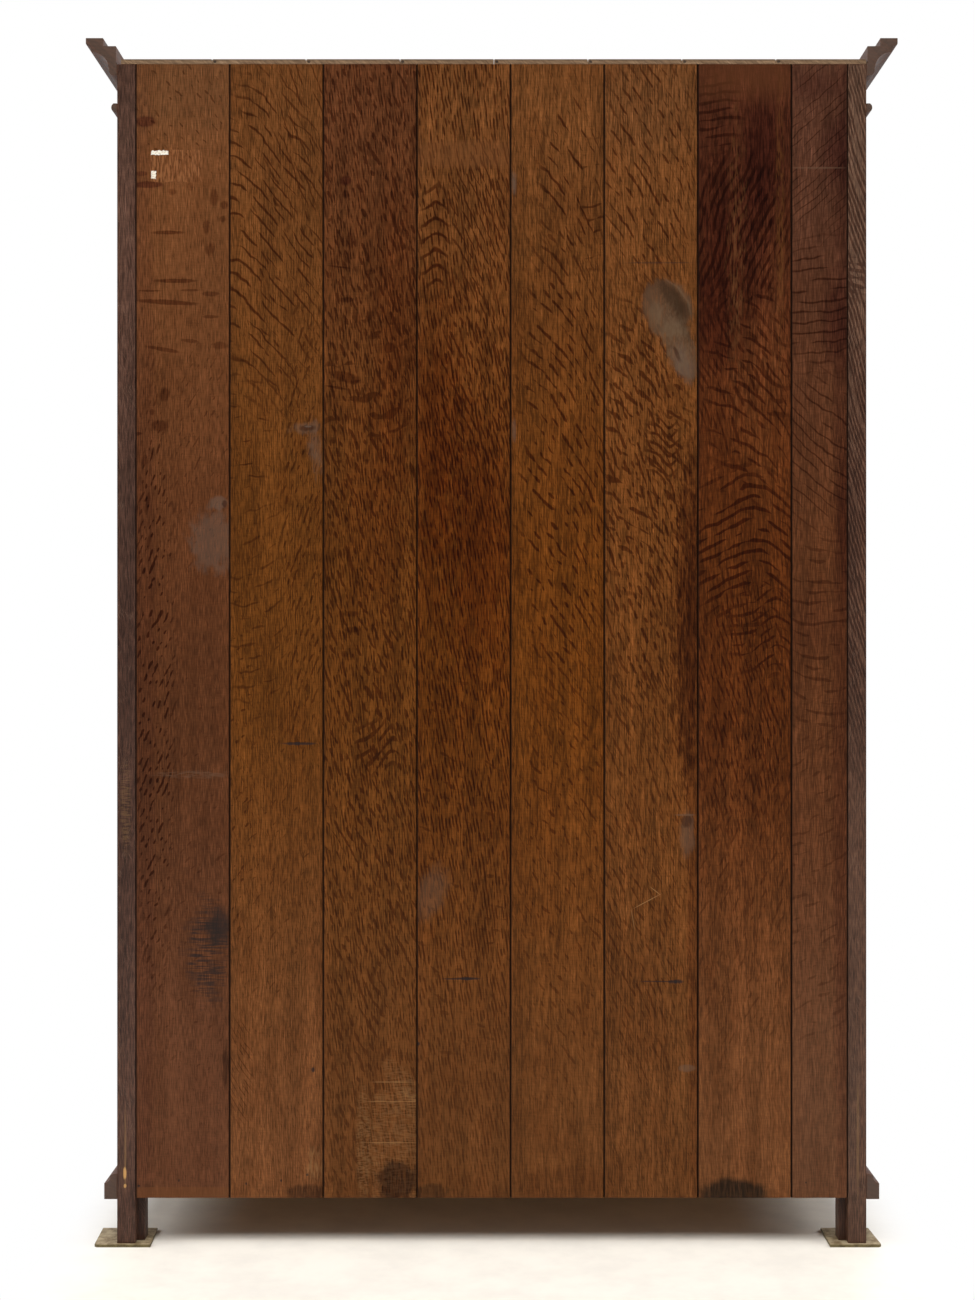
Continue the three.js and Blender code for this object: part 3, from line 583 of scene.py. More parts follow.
COAT_ROUGHNESS = 0.22
WORN_WIDTH = 0.004
LAYER_STEP = 2.3


@dataclass(frozen=True)
class Oak:
    """Stained oak: three tones from the floor to the top, its ray figure, its marks and its polish."""

    # Bottom, middle and top: the wood's colour, and a painted sheen where the top and bottom tones are lighter and
    # greyer.
    tones: tuple[Tone, Tone, Tone]
    flecks: tuple[Flecks, ...] = (FINE,)
    marks: tuple[Mark, ...] = ()
    roughness: float = 0.5
    gloss: float = 0.2
    coat: float = 0.0
    wear: float = 0.0
    wear_tone: Tone = Tone.RAW
    scratches: float = 0.0
    contrast: float = 1.0
    clouds: float = 0.35
    dust: float = 0.0
    # Width of the near-black band at the side edges: joint dirt, and painted shade of the joint gap.
    joint_grime_and_shade: float = 0.0
    fade: float = 0.0
    slot: str = "back_oak"

    def material(self, name: str, low: Vector, high: Vector, axis: Axis, seed: float) -> bpy.types.Material:
        """The finish on one piece.

        Args:
            name: The material's name.
            low: Lowest corner of the piece.
            high: Highest corner of the piece.
            axis: The way of the grain.
            seed: Makes the grain of this piece its own.

        Returns:
            The material.
        """
        made, g = new_material(name)
        coordinates = g.node("TexCoord")
        place, facing = coordinates.outputs["Object"], coordinates.outputs["Normal"]
        turn = axis.value.to_euler()
        centre = -(axis.value @ ((low + high) / 2))
        turned = g.fill(g.node("Mapping"), Vector=place, Rotation=turn, Location=centre).outputs[0]
        normal = g.fill(g.node("Mapping", vector_type="VECTOR"), Vector=facing, Rotation=turn)

        grain = g.call(Effect.GRAIN, Vector=turned, Seed=seed)
        clarity = self.clarity(g, place)
        colour = self.ground(g, place, grain, clarity)
        fleck = g.times(self.figured(g, turned, place, seed), clarity)
        colour = g.mix(fleck, colour, g.tinted(colour, FLECK_TINT))
        end = g.call(Effect.END_GRAIN, Vector=turned, Normal=normal.outputs[0], Seed=seed)
        ends = g.mix(end.outputs["Rings"], *RING_TINTS)
        colour = g.mix(end.outputs["Mask"], colour, g.tinted(colour, ends))
        colour, dents = self.marked(g, coordinates, colour, grain)
        # Painted shade with dirt: a near-black band along each side edge stands for the shadow in the joint gap and
        # the grime in it.
        if self.joint_grime_and_shade:
            x, _, _ = g.split(place)
            gap = g.math("MINIMUM", g.minus(x, low.x), g.minus(high.x, x))
            clear_of_joints = g.smooth(gap, self.joint_grime_and_shade * 0.3, self.joint_grime_and_shade)
            colour = g.mix(clear_of_joints, JOINT_GRIME_AND_SHADE, colour)
        if self.scratches:
            hairs = g.call(Effect.SCRATCHES, Vector=turned, Amount=self.scratches, Seed=seed)
            colour = g.mix(g.times(hairs.outputs[0], SCRATCH_SHARE), colour, Tone.ASH.value)
        if self.wear:
            edge = g.call(Effect.ARRIS, Vector=place, Low=low, High=high, Width=WORN_WIDTH)
            colour = g.mix(g.times(edge.outputs[0], self.wear), colour, self.wear_tone.value)
        if self.dust:
            dust = g.call(Effect.DUST, Vector=place, Normal=facing, Amount=self.dust)
            colour = g.mix(dust.outputs[0], colour, DUST_GREY)
        g.surface(
            Base_Color=colour,
            Roughness=g.between(grain.outputs["Streaks"], *(self.roughness + swing for swing in ROUGHNESS_SWING)),
            Normal=g.bump(self.relief(g, grain, fleck, dents), 0.6, MILLIMETRE),
            Specular_IOR_Level=self.gloss,
            Coat_Weight=self.coat,
            Coat_Roughness=COAT_ROUGHNESS,
        )
        return made

    def clarity(self, g: Graph, place: Socket) -> Input:
        """How clearly the figure shows: all of it high up, and less of it near the floor."""
        if not self.fade:
            return 1.0
        _, _, height = g.split(place)
        return g.between(g.smooth(height, *FADE_SPAN), 1 - self.fade, 1.0)

    def ground(self, g: Graph, place: Socket, grain: bpy.types.Node, clarity: Input) -> Socket:
        """The wood's colour from the tones, the bands and the streaks; the height tones carry a painted sheen as
        well.
        """
        _, _, height = g.split(place)
        bottom, middle, top = (tone.value for tone in self.tones)
        # Painted sheen: lighter, greyer tones towards the top and the bottom stand for the gloss catching the light
        # there.
        colour = g.mix(g.smooth(height, *LOW_SPAN), bottom, middle)
        colour = g.mix(g.smooth(height, *HIGH_SPAN), colour, top)
        bands = g.between(grain.outputs["Bands"], *(1 + swing * self.contrast for swing in BAND_SWING))
        streaks = g.between(grain.outputs["Streaks"], *(1 + swing * self.contrast for swing in STREAK_SWING))
        ripples = g.between(grain.outputs["Ripples"], *RIPPLE_SPAN)
        factor = g.times(bands, g.between(clarity, 1.0, streaks), ripples)
        colour = g.tinted(colour, g.vector(factor, factor, factor))
        dark, bright = g.tinted(colour, PORE_TINT), g.tinted(colour, GLINT_TINT)
        colour = g.mix(g.times(grain.outputs["Glints"], GLINT_SHARE, clarity), colour, bright)
        colour = g.mix(g.times(grain.outputs["Clouds"], self.clouds), colour, dark)
        return g.mix(g.times(grain.outputs["Pores"], PORE_SHARE, clarity), colour, dark)

    def figured(self, g: Graph, turned: Socket, place: Socket, seed: float) -> Input:
        """All layers of ray flecks together."""
        total: Input = 0.0
        for index, layer in enumerate(self.flecks):
            values = fields(layer, FLECK_SOCKETS)
            spots = g.call(Effect.FLECKS, Vector=turned, Seed=seed + LAYER_STEP * index, **values)
            mask = g.times(spots.outputs[0], layer.strength)
            if layer.region:
                mask = g.times(mask, patch_mask(g, place, layer.region))
            total = g.most(total, mask)
        return total

    def marked(
        self, g: Graph, coordinates: bpy.types.Node, colour: Socket, grain: bpy.types.Node
    ) -> tuple[Socket, Input]:
        """The marks on faces that look to the rear, uneven as the grain is.

        Args:
            g: The graph of the material.
            coordinates: The texture coordinate node.
            colour: The colour so far.
            grain: The grain group.

        Returns:
            The colour with the marks laid over it, and how deep they go in millimetres.
        """
        place = coordinates.outputs["Object"]
        _, rearwards, _ = g.split(coordinates.outputs["Normal"])
        uneven = g.times(g.between(grain.outputs["Streaks"], 1.0, 0.8), g.smooth(rearwards, 0.2, 0.6))
        dents: Input = 0.0
        for mark in self.marks:
            mask = patch_mask(g, place, mark)
            if mark.streak:
                hatch = g.vector(*(g.times(part, scale) for part, scale in zip(g.split(place), mark.streak)))
                mask = g.times(mask, g.smooth(g.noise(hatch, 2), 0.4, 0.62))
            colour = g.mix(g.times(mask, mark.strength, uneven), colour, mark.colour, mark.blend)
            if mark.depth:
                dents = g.add(dents, g.times(mask, mark.depth))
        return colour, dents

    def relief(self, g: Graph, grain: bpy.types.Node, fleck: Socket, dents: Input) -> Socket:
        """Height of the surface, in millimetres: pores and dents go in, and rays stand proud."""
        streaks, pores = grain.outputs["Streaks"], grain.outputs["Pores"]
        height = g.add(g.times(streaks, STREAK_RISE), g.times(pores, PORE_RISE), g.times(fleck, RAY_RISE))
        return g.minus(height, dents)


@dataclass(frozen=True)
class Metal:
    """Aged brass or iron: a bright ground under tarnish."""

    bright: Colour
    dull: Colour
    roughness: float
    slot: str

    def material(self, name: str) -> bpy.types.Material:
        """The finish, the same for every piece that has it."""
        found = bpy.data.materials.get(name)
        if found:
            return found
        made, g = new_material(name)
        place = g.node("TexCoord").outputs["Object"]
        tarnish = g.smooth(g.noise(place, 4, 160, 0.6), 0.38, 0.66)
        specks = g.smooth(g.noise(place, 2, 900), 0.6, 0.7)
        cover = g.most(tarnish, specks)
        g.surface(
            Base_Color=g.mix(cover, self.bright, self.dull),
            Roughness=g.between(cover, self.roughness, self.roughness + 0.25),
            Metallic=g.between(cover, 1.0, 0.75),
            Normal=g.bump(g.noise(place, 4, 420), 0.3, 0.3 * MILLIMETRE),
        )
        return made


BRASS = Metal(linear(176, 142, 82), linear(92, 70, 38), 0.3, "brass")
IRON = Metal(linear(120, 114, 106), linear(48, 42, 38), 0.42, "iron")


def cad(name: str) -> bpy.types.Object:
    """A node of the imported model."""
    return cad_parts[name]


def soften(piece: bpy.types.Object, width: float) -> None:
    """Takes the sharpness off a CAD piece's arrises with modifiers, and leaves its mesh as it is."""
    weld = piece.modifiers.new("weld", "WELD")
    weld.merge_threshold = WELD_DISTANCE
    flat = piece.modifiers.new("flat", "DECIMATE")
    flat.decimate_type = "DISSOLVE"
    flat.angle_limit = FLAT_ANGLE
    round_arrises(piece, width)


def round_arrises(piece: bpy.types.Object, width: float, segments: int = 2) -> bpy.types.Modifier:
    """Adds the modifier that rounds a piece's arrises."""
    bevel = piece.modifiers.new("arrises", "BEVEL")
    bevel.width = width
    bevel.segments = segments
    bevel.limit_method = "ANGLE"
    bevel.angle_limit = ARRIS_ANGLE
    return bevel


def new_shape(name: str, operator: Callable, **settings: object) -> bpy.types.Object:
    """A new piece from one of the mesh primitives.

    Args:
        name: The piece's name.
        operator: What adds the primitive.
        settings: The settings of the operator.

    Returns:
        The new piece.
    """
    bpy.ops.object.select_all(action="DESELECT")
    operator(**settings)
    made = bpy.context.object
    made.name = name
    return made


def dress(piece: bpy.types.Object, material: bpy.types.Material) -> None:
    """Puts a material into the piece's one slot."""
    piece.data.materials.clear()
    piece.data.materials.append(material)


def select_only(piece: bpy.types.Object) -> None:
    """Makes a piece the selected and active object."""
    bpy.ops.object.select_all(action="DESELECT")
    piece.select_set(True)
    bpy.context.view_layer.objects.active = piece


@contextmanager
def editing(piece: bpy.types.Object) -> Iterator[bmesh.types.BMesh]:
    """Edit mode on one piece, with nothing selected.

    Args:
        piece: The piece.

    Yields:
        Its edit mesh, good until an operator adds or removes something.
    """
    select_only(piece)
    bpy.ops.object.mode_set(mode="EDIT")
    bpy.ops.mesh.select_mode(type="FACE")
    bpy.ops.mesh.select_all(action="DESELECT")
    yield bmesh.from_edit_mesh(piece.data)
    bpy.ops.object.mode_set(mode="OBJECT")


def pick_faces(piece: bpy.types.Object, wanted: Callable[[bmesh.types.BMFace], bool]) -> int:
    """Selects the faces of the piece in edit mode that a test wants.

    Args:
        piece: The piece, in edit mode.
        wanted: The test.

    Returns:
        How many were selected.
    """
    bpy.ops.mesh.select_all(action="DESELECT")
    mesh = bmesh.from_edit_mesh(piece.data)
    picked = [face for face in mesh.faces if wanted(face)]
    for face in picked:
        face.select_set(True)
    bmesh.update_edit_mesh(piece.data)
    return len(picked)


def merged_copy(source: str, name: str) -> bpy.types.Object:
    """A new piece with a copy of a CAD node's mesh, its triangles joined up to whole faces.

    Args:
        source: The CAD node.
        name: The new piece's name.

    Returns:
        The new piece.
    """
    piece = bpy.data.objects.new(name, cad(source).data.copy())
    bpy.context.scene.collection.objects.link(piece)
    with editing(piece):
        bpy.ops.mesh.select_all(action="SELECT")
        bpy.ops.mesh.remove_doubles(threshold=WELD_DISTANCE)
        bpy.ops.mesh.normals_make_consistent(inside=False)
        bpy.ops.mesh.dissolve_limited(angle_limit=SAME_FACE_ANGLE)
    return piece


def keep_between(piece: bpy.types.Object, axis: int, low: float, high: float) -> None:
    """Cuts a piece down to what lies between two planes, and closes the cuts.

    Args:
        piece: The piece.
        axis: 0, 1 or 2, the way that the planes face.
        low: Place of the lower plane.
        high: Place of the higher one.
    """
    for place, way in ((low, -1.0), (high, 1.0)):
        middle, normal = Vector(), Vector()
        middle[axis], normal[axis] = place, way
        with editing(piece):
            bpy.ops.mesh.select_all(action="SELECT")
            bpy.ops.mesh.bisect(plane_co=middle, plane_no=normal, use_fill=True, clear_outer=True)


def ease(piece: bpy.types.Object, width: float, segments: int = 2) -> None:
    """Rounds a new piece's arrises and applies that."""
    bevel = round_arrises(piece, width, segments)
    select_only(piece)
    bpy.ops.object.modifier_apply(modifier=bevel.name)


def smooth_faces(piece: bpy.types.Object, degrees: float = 35) -> None:
    """Shades a new piece smoothly but for edges sharper than an angle."""
    select_only(piece)
    bpy.ops.object.shade_smooth_by_angle(angle=math.radians(degrees))


def box_of(piece: bpy.types.Object) -> tuple[Vector, Vector]:
    """Lowest and highest corner of a new piece that stands at the origin, unturned."""
    places = [vertex.co for vertex in piece.data.vertices]
    return tuple(Vector(pick(place[axis] for place in places) for axis in range(3)) for pick in (min, max))


def settle(
    piece: bpy.types.Object, body: str, material: bpy.types.Material, nodes: Sequence[str] = ()
) -> None:
    """Puts a new piece on its body, with its finish.

    Args:
        piece: The piece.
        body: The body that it rides on.
        material: Its finish.
        nodes: CAD nodes that it stands for.
    """
    dress(piece, material)
    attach(piece, body)
    if nodes:
        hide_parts(*nodes)


WHITE = (1, 1, 1, 1)
FLOOR_PAINTS = (linear(248, 242, 231), linear(238, 232, 222))

# The place of each lamp, what it faces, its width and height, and its watts.
LAMPS = {
    "key_softbox": ((0.4, 6.2, 10.2), (0, 0, 0.8), (10.0, 5.4), 1040),
    "front_softbox": ((-0.6, -5.6, 8.0), (0, 0, 0.8), (5.0, 4.0), 420),
    "right_softbox": ((6.0, 1.2, 3.6), (0, 0, 0.4), (3.0, 3.0), 200),
    "left_softbox": ((-6.0, 1.2, 3.6), (0, 0, 0.4), (3.0, 3.0), 200),
}


@dataclass
class Studio:
    """The floor, the lights and the camera. Lengths are in metres."""

    camera_place: Point = (0.007, 3.393, 0.987)
    focal_pixels: float = 1873.0
    frame_height: int = 1300
    sensor: float = 36.0
    floor_reach: float = 30.0
    floor_stretch: tuple[float, float] = (1.55, 1.3)
    floor_fade: tuple[float, float] = (0.9, 1.15)
    ambient: float = 0.2
    gloss_dark: float = 0.25

    def build(self) -> None:
        """Makes all of it."""
        scene = bpy.context.scene
        scene.view_settings.view_transform = "Standard"
        self.add_camera()
        self.add_world()
        self.add_floor()
        for name, lamp in LAMPS.items():
            self.add_lamp(name, *lamp)
        log.info("studio ready")

    def add_camera(self) -> None:
        """The camera stands square to the back of the wardrobe, at half its height."""
        data = bpy.data.cameras.new("camera")
        data.sensor_width = self.sensor
        data.lens = self.focal_pixels * self.sensor / self.frame_height
        camera = bpy.data.objects.new("camera", data)
        camera.location = self.camera_place
        camera.rotation_euler = (math.pi / 2, 0, math.pi)
        bpy.context.scene.collection.objects.link(camera)
        bpy.context.scene.camera = camera

    def add_world(self) -> None:
        """An even pale room that shows as white behind the object and in its gloss."""
        world = bpy.data.worlds.new("room")
        world.use_nodes = True
        world.node_tree.nodes.clear()
        g = Graph(world.node_tree)
        rays = g.node("LightPath")
        seen = g.most(rays.outputs["Is Camera Ray"], rays.outputs["Is Transmission Ray"])
        _, towards, _ = g.split(g.node("TexCoord").outputs["Generated"])
        gloss = g.between(g.smooth(towards, -0.3, 0.5), 1.0, self.gloss_dark)
        level = g.between(rays.outputs["Is Glossy Ray"], self.ambient, gloss)
        background = g.fill(g.node("Background"), Color=WHITE, Strength=g.between(seen, level, 1.0))
        g.put(g.node("OutputWorld").inputs[0], background.outputs[0])
        bpy.context.scene.world = world

    def add_floor(self) -> None:
        """A warm white floor round the object that keeps its shadow and turns to plain white further off."""
        floor = new_shape("floor", bpy.ops.mesh.primitive_plane_add, size=2 * self.floor_reach)
        material, g = new_material("floor")
        place = g.node("TexCoord").outputs["Object"]
        x, y, _ = g.split(place)
        away = g.most(*(g.times(g.math("ABSOLUTE", part), by) for part, by in zip((x, y), self.floor_stretch)))
        worn = g.smooth(g.noise(place, 6, 9, 0.65), 0.35, 0.7)
        paint = g.fill(g.node("BsdfDiffuse"), Color=g.mix(worn, *FLOOR_PAINTS))
        white = g.fill(g.node("Emission"), Color=WHITE)
        rays = g.node("LightPath")
        seen = g.most(
            rays.outputs["Is Camera Ray"], rays.outputs["Is Glossy Ray"], rays.outputs["Is Transmission Ray"]
        )
        mixed = g.node("MixShader")
        whiteness = g.times(seen, g.smooth(away, *self.floor_fade))
        for index, value in enumerate((whiteness, paint.outputs[0], white.outputs[0])):
            g.put(mixed.inputs[index], value)
        g.put(g.node("OutputMaterial").inputs[0], mixed.outputs[0])
        dress(floor, material)

    def add_lamp(self, name: str, place: Point, target: Point, size: tuple[float, float], watts: float) -> None:
        """A soft rectangular lamp that the camera doesn't see.

        Args:
            name: The lamp's name.
            place: Where it hangs.
            target: What it faces.
            size: Its width and height.
            watts: Its power.
        """
        data = bpy.data.lights.new(name, "AREA")
        data.shape = "RECTANGLE"
        data.size, data.size_y = size
        data.energy = watts
        lamp = bpy.data.objects.new(name, data)
        lamp.location = place
        lamp.rotation_euler = (Vector(target) - Vector(place)).to_track_quat("-Z", "Y").to_euler()
        lamp.visible_camera = False
        lamp.visible_glossy = False
        bpy.context.scene.collection.objects.link(lamp)


PAPER = linear(232, 226, 214)
PAPER_DIRT = linear(186, 170, 148)
BRIGHT_CHIP = linear(196, 150, 92)
# Near-black of real burns, and painted shade in cracks, holes and grooves.
SOOT_AND_SHADE = linear(40, 33, 31)
GREY_WEAR = linear(96, 74, 58)
PATCH_GREY = linear(80, 59, 43)
PATCH_PALE = linear(98, 79, 60)
PATCH_CORE = linear(52, 36, 23)
LILAC = linear(95, 79, 68)
SCUFF = linear(146, 96, 60)
SHADE_TINT = (0.42, 0.3, 0.26, 1)
PURPLE = (0.42, 0.26, 0.34, 1)
RUST = (0.62, 0.36, 0.2, 1)

# Streaks of noise that break a mark up: features in a metre along X, Y and Z.
FIBRES = (420.0, 1.0, 60.0)
HATCH = (70.0, 1.0, 520.0)
KERFS = (30.0, 1.0, 330.0)
RASPED = (120.0, 1.0, 420.0)
SCRAPED = (60.0, 1.0, 480.0)
SPECKLED = (190.0, 1.0, 160.0)
BROKEN = (300.0, 1.0, 110.0)
STRINGY = (300.0, 1.0, 34.0)
THREADS = (300.0, 1.0, 22.0)

BAR = {"edge": 0.25, "ragged": 0.7}
BACK = {"joint_grime_and_shade": 0.0034, "roughness": 0.5, "gloss": 0.06, "contrast": 1.5}
CALM = {**BACK, "contrast": 1.15, "clouds": 0.25}


def shade(
    x: float, z: float, half_width: float, half_height: float, strength: float = 0.7, turn: float = 0.0, **more
) -> Mark:
    """A darker place where the wood's own colour still shows.

    Args:
        x: Its place along X.
        z: Its height.
        half_width: Half its width.
        half_height: Half its height.
        strength: How much of it shows.
        turn: Its lean, in degrees.
        more: Other fields of the mark.

    Returns:
        The mark.
    """
    values = {"colour": SHADE_TINT, "edge": 0.3, "ragged": 1.0, "blend": "MULTIPLY", **more}
    return Mark(x, z, half_width, half_height, strength=strength, turn=turn, **values)


def shades(*rows: tuple[float, ...], **more: object) -> tuple[Mark, ...]:
    """Several shades, one from each row, that share their other fields."""
    return tuple(shade(*row, **more) for row in rows)


def slit(x: float, z: float, half_width: float, half_height: float = 0.0022) -> Mark:
    """A crack, a nail hole or a dead knot: a shallow dent, with painted shade for the darkness in its opening."""
    return Mark(x, z, half_width, half_height, SOOT_AND_SHADE, 0.95, ragged=1.3, edge=0.4, depth=1.2)


def board_1() -> Oak:
    """The clay-red board at the right post: calm, with plum-coloured bars and a burn low down."""
    return Oak(
        (Tone.CLAY, Tone.RUSSET, Tone.SAND),
        (
            replace(FINE, slope=2.0, length=0.008, coverage=0.4, strength=0.3),
            Flecks(0.02, 1.1, 4, 3.4, 0.01, 0.36, 0.5, 0.7, region=Region(0.51, 1.87, 0.09, 0.1)),
            Flecks(0.024, -2.4, 0, 3.5, 0.011, 0.55, 0.56, 1.0, region=Region(0.558, 0.92, 0.034, 0.5)),
            Flecks(0.02, -1.6, 0, 3, 0.009, 0.4, 0.5, 0.6, region=Region(0.48, 1.3, 0.05, 0.2)),
            Flecks(0.02, -0.9, 0, 3, 0.012, 0.4, 0.45, 0.5, region=Region(0.5, 0.6, 0.08, 0.4)),
        ),
        (
            shade(0.58, 1.0, 0.022, 1.1, 0.55, colour=(0.72, 0.66, 0.78, 1)),
            shade(0.5, 0.72, 0.1, 0.36, 0.45, colour=(0.76, 0.8, 0.92, 1), edge=0.8, ragged=1.2),
            shade(0.51, 1.93, 0.12, 0.09, 0.7, colour=(0.76, 0.86, 0.98, 1), edge=0.7),
            *shades(
                (0.573, 1.8615, 0.017, 0.0085, 0.85), (0.58, 1.7755, 0.011, 0.004, 0.7),
                (0.568, 1.757, 0.023, 0.0055, 0.85), colour=PURPLE, **BAR,
            ),
            *shades(
                (0.529, 1.7455, 0.007, 0.0055, 0.7), (0.499, 1.754, 0.006, 0.007, 0.5),
                (0.4595, 1.737, 0.0065, 0.0135, 0.75), (0.443, 1.724, 0.0065, 0.0065, 0.8),
                (0.4455, 1.7005, 0.006, 0.0055, 0.7), (0.4725, 1.6875, 0.0055, 0.012, 0.7),
                (0.466, 1.651, 0.008, 0.0105, 0.7, -25),
            ),
            *shades(
                (0.4655, 1.5765, 0.0135, 0.004, 0.7), (0.4655, 1.5385, 0.014, 0.003, 0.75),
                (0.449, 1.491, 0.0125, 0.006, 0.7), (0.5364, 1.678, 0.0265, 0.0034, 0.9),
                (0.5222, 1.598, 0.033, 0.0036, 0.9), (0.567, 1.5815, 0.018, 0.0016, 0.8),
                (0.5, 1.5825, 0.014, 0.002, 0.7), (0.5372, 1.5625, 0.0475, 0.0042, 0.9, -3),
                (0.5, 1.4988, 0.0145, 0.003, 0.7, -6), (0.543, 1.4845, 0.029, 0.0034, 0.85, -10), **BAR,
            ),
            *shades((0.542, 1.41, 0.0085, 0.012, 0.8, -20), (0.549, 1.3575, 0.0145, 0.009, 0.8)),
            shade(0.588, 1.345, 0.009, 0.003, 0.9, **BAR),
            *shades(
                (0.562, 1.381, 0.004, 0.005, 0.7), (0.575, 1.3015, 0.005, 0.01, 0.6),
                (0.5695, 1.2295, 0.0035, 0.0185, 0.8, -8), (0.567, 1.166, 0.0035, 0.013, 0.7, -12),
            ),
            shade(0.5223, 1.7884, 0.043, 0.0265, 0.35, edge=0.03, power=10, ragged=0.1),
            Mark(0.5223, 1.7884, 0.043, 0.0265, SCUFF, 0.65, power=10, edge=0.03, ragged=0.15, streak=FIBRES),
            Mark(0.462, 1.168, 0.034, 0.046, LILAC, 0.4, power=3, ragged=1.6, edge=0.3),
            Mark(0.452, 1.231, 0.015, 0.011, LILAC, 0.5, ragged=0.8),
            shade(0.442, 1.229, 0.004, 0.0065, 0.9),
            Mark(0.49, 0.781, 0.062, 0.006, GREY_WEAR, 0.5, ragged=0.6, edge=0.4, streak=HATCH),
            Mark(0.47, 0.49, 0.034, 0.075, SOOT_AND_SHADE, 0.9, ragged=1.4, edge=0.4, streak=KERFS),
            Mark(0.452, 0.53, 0.02, 0.026, SOOT_AND_SHADE, 0.85, ragged=1.6, edge=0.5),
            Mark(0.475, 0.527, 0.03, 0.006, SOOT_AND_SHADE, 0.5, ragged=1.2, edge=0.5),
            shade(0.4405, 0.3, 0.005, 0.033, 0.9, colour=(0.36, 0.36, 0.38, 1)),
            Mark(0.51, 0.089, 0.08, 0.009, Tone.SAND.value, 0.5, power=8, edge=0.1, ragged=0.1),
            slit(0.584, 0.1, 0.002, 0.002),
            slit(0.5179, 0.1087, 0.0011, 0.0022),
        ),
        fade=0.2,
        **CALM,
    )


def board_2() -> Oak:
    """A sandy board with falling strings of flecks and a grey scuff."""
    return Oak(
        (Tone.SAND, Tone.AMBER, Tone.TAN),
        (
            replace(FINE, slope=2.6, length=0.009, coverage=0.46, strength=0.45),
            Flecks(0.024, 1.15, 5, 3.2, 0.036, 0.32, 0.66, 0.95, region=Region(0.37, 1.68, 0.1, 0.28)),
            Flecks(0.034, 1.7, 4, 3, 0.02, 0.28, 0.56, 0.85, region=Region(0.34, 1.6, 0.07, 0.24)),
            Flecks(0.04, 3.2, 0, 2.5, 0.034, 0.3, 0.64, 0.85, region=Region(0.31, 1.84, 0.05, 0.14)),
            Flecks(0.02, 0.05, 0, 1.5, 0.024, 0.26, 0.55, 0.85, region=Region(0.41, 1.33, 0.04, 0.13)),
            Flecks(0.024, -0.8, -5, 2.4, 0.024, 0.28, 0.58, 0.65, region=Region(0.39, 1.05, 0.055, 0.2)),
            Flecks(0.03, -3.2, 0, 3, 0.012, 0.5, 0.56, 0.75, region=Region(0.31, 1.2, 0.04, 0.42)),
            Flecks(0.022, -1.2, 0, 3, 0.009, 0.4, 0.5, 0.8, region=Region(0.42, 0.8, 0.022, 0.3)),
            Flecks(0.022, -1.2, -3, 3, 0.012, 0.3, 0.48, 0.6, region=Region(0.36, 0.62, 0.08, 0.28)),
            Flecks(0.013, -0.1, -12, 2, 0.022, 0.35, 0.7, 0.75, region=Region(0.418, 0.29, 0.022, 0.09)),
        ),
        (
            Mark(0.2915, 1.317, 0.011, 0.04, GREY_WEAR, 0.5, turn=10, ragged=1.8, edge=0.5, streak=FIBRES),
            Mark(0.292, 1.32, 0.01, 0.036, GREY_WEAR, 0.3, turn=10, ragged=1.6, edge=0.6),
            Mark(0.307, 1.355, 0.024, 0.0085, GREY_WEAR, 0.6, turn=6, ragged=1.6, edge=0.5),
            shade(0.305, 1.3545, 0.0125, 0.0055, 0.9, 4, ragged=1.4),
            shade(0.296, 1.33, 0.012, 0.05, 0.45, colour=(0.8, 0.84, 0.98, 1), edge=0.7, ragged=2.0),
            Mark(0.304, 1.357, 0.006, 0.002, LILAC, 0.6, ragged=1.2),
            slit(0.318, 0.832, 0.026),
            slit(0.2957, 0.2924, 0.003, 0.004),
            slit(0.4065, 0.1037, 0.0013, 0.0022),
            slit(0.3487, 0.1087, 0.0013, 0.002),
            slit(0.3056, 0.1186, 0.0018, 0.0018),
            Mark(0.293, 0.135, 0.014, 0.026, Tone.RAW.value, 0.35, edge=0.5, streak=FIBRES),
            shade(0.304, 0.09, 0.036, 0.012, 0.85, colour=(0.3, 0.32, 0.4, 1)),
        ),
        fade=0.2,
        **BACK,
    )


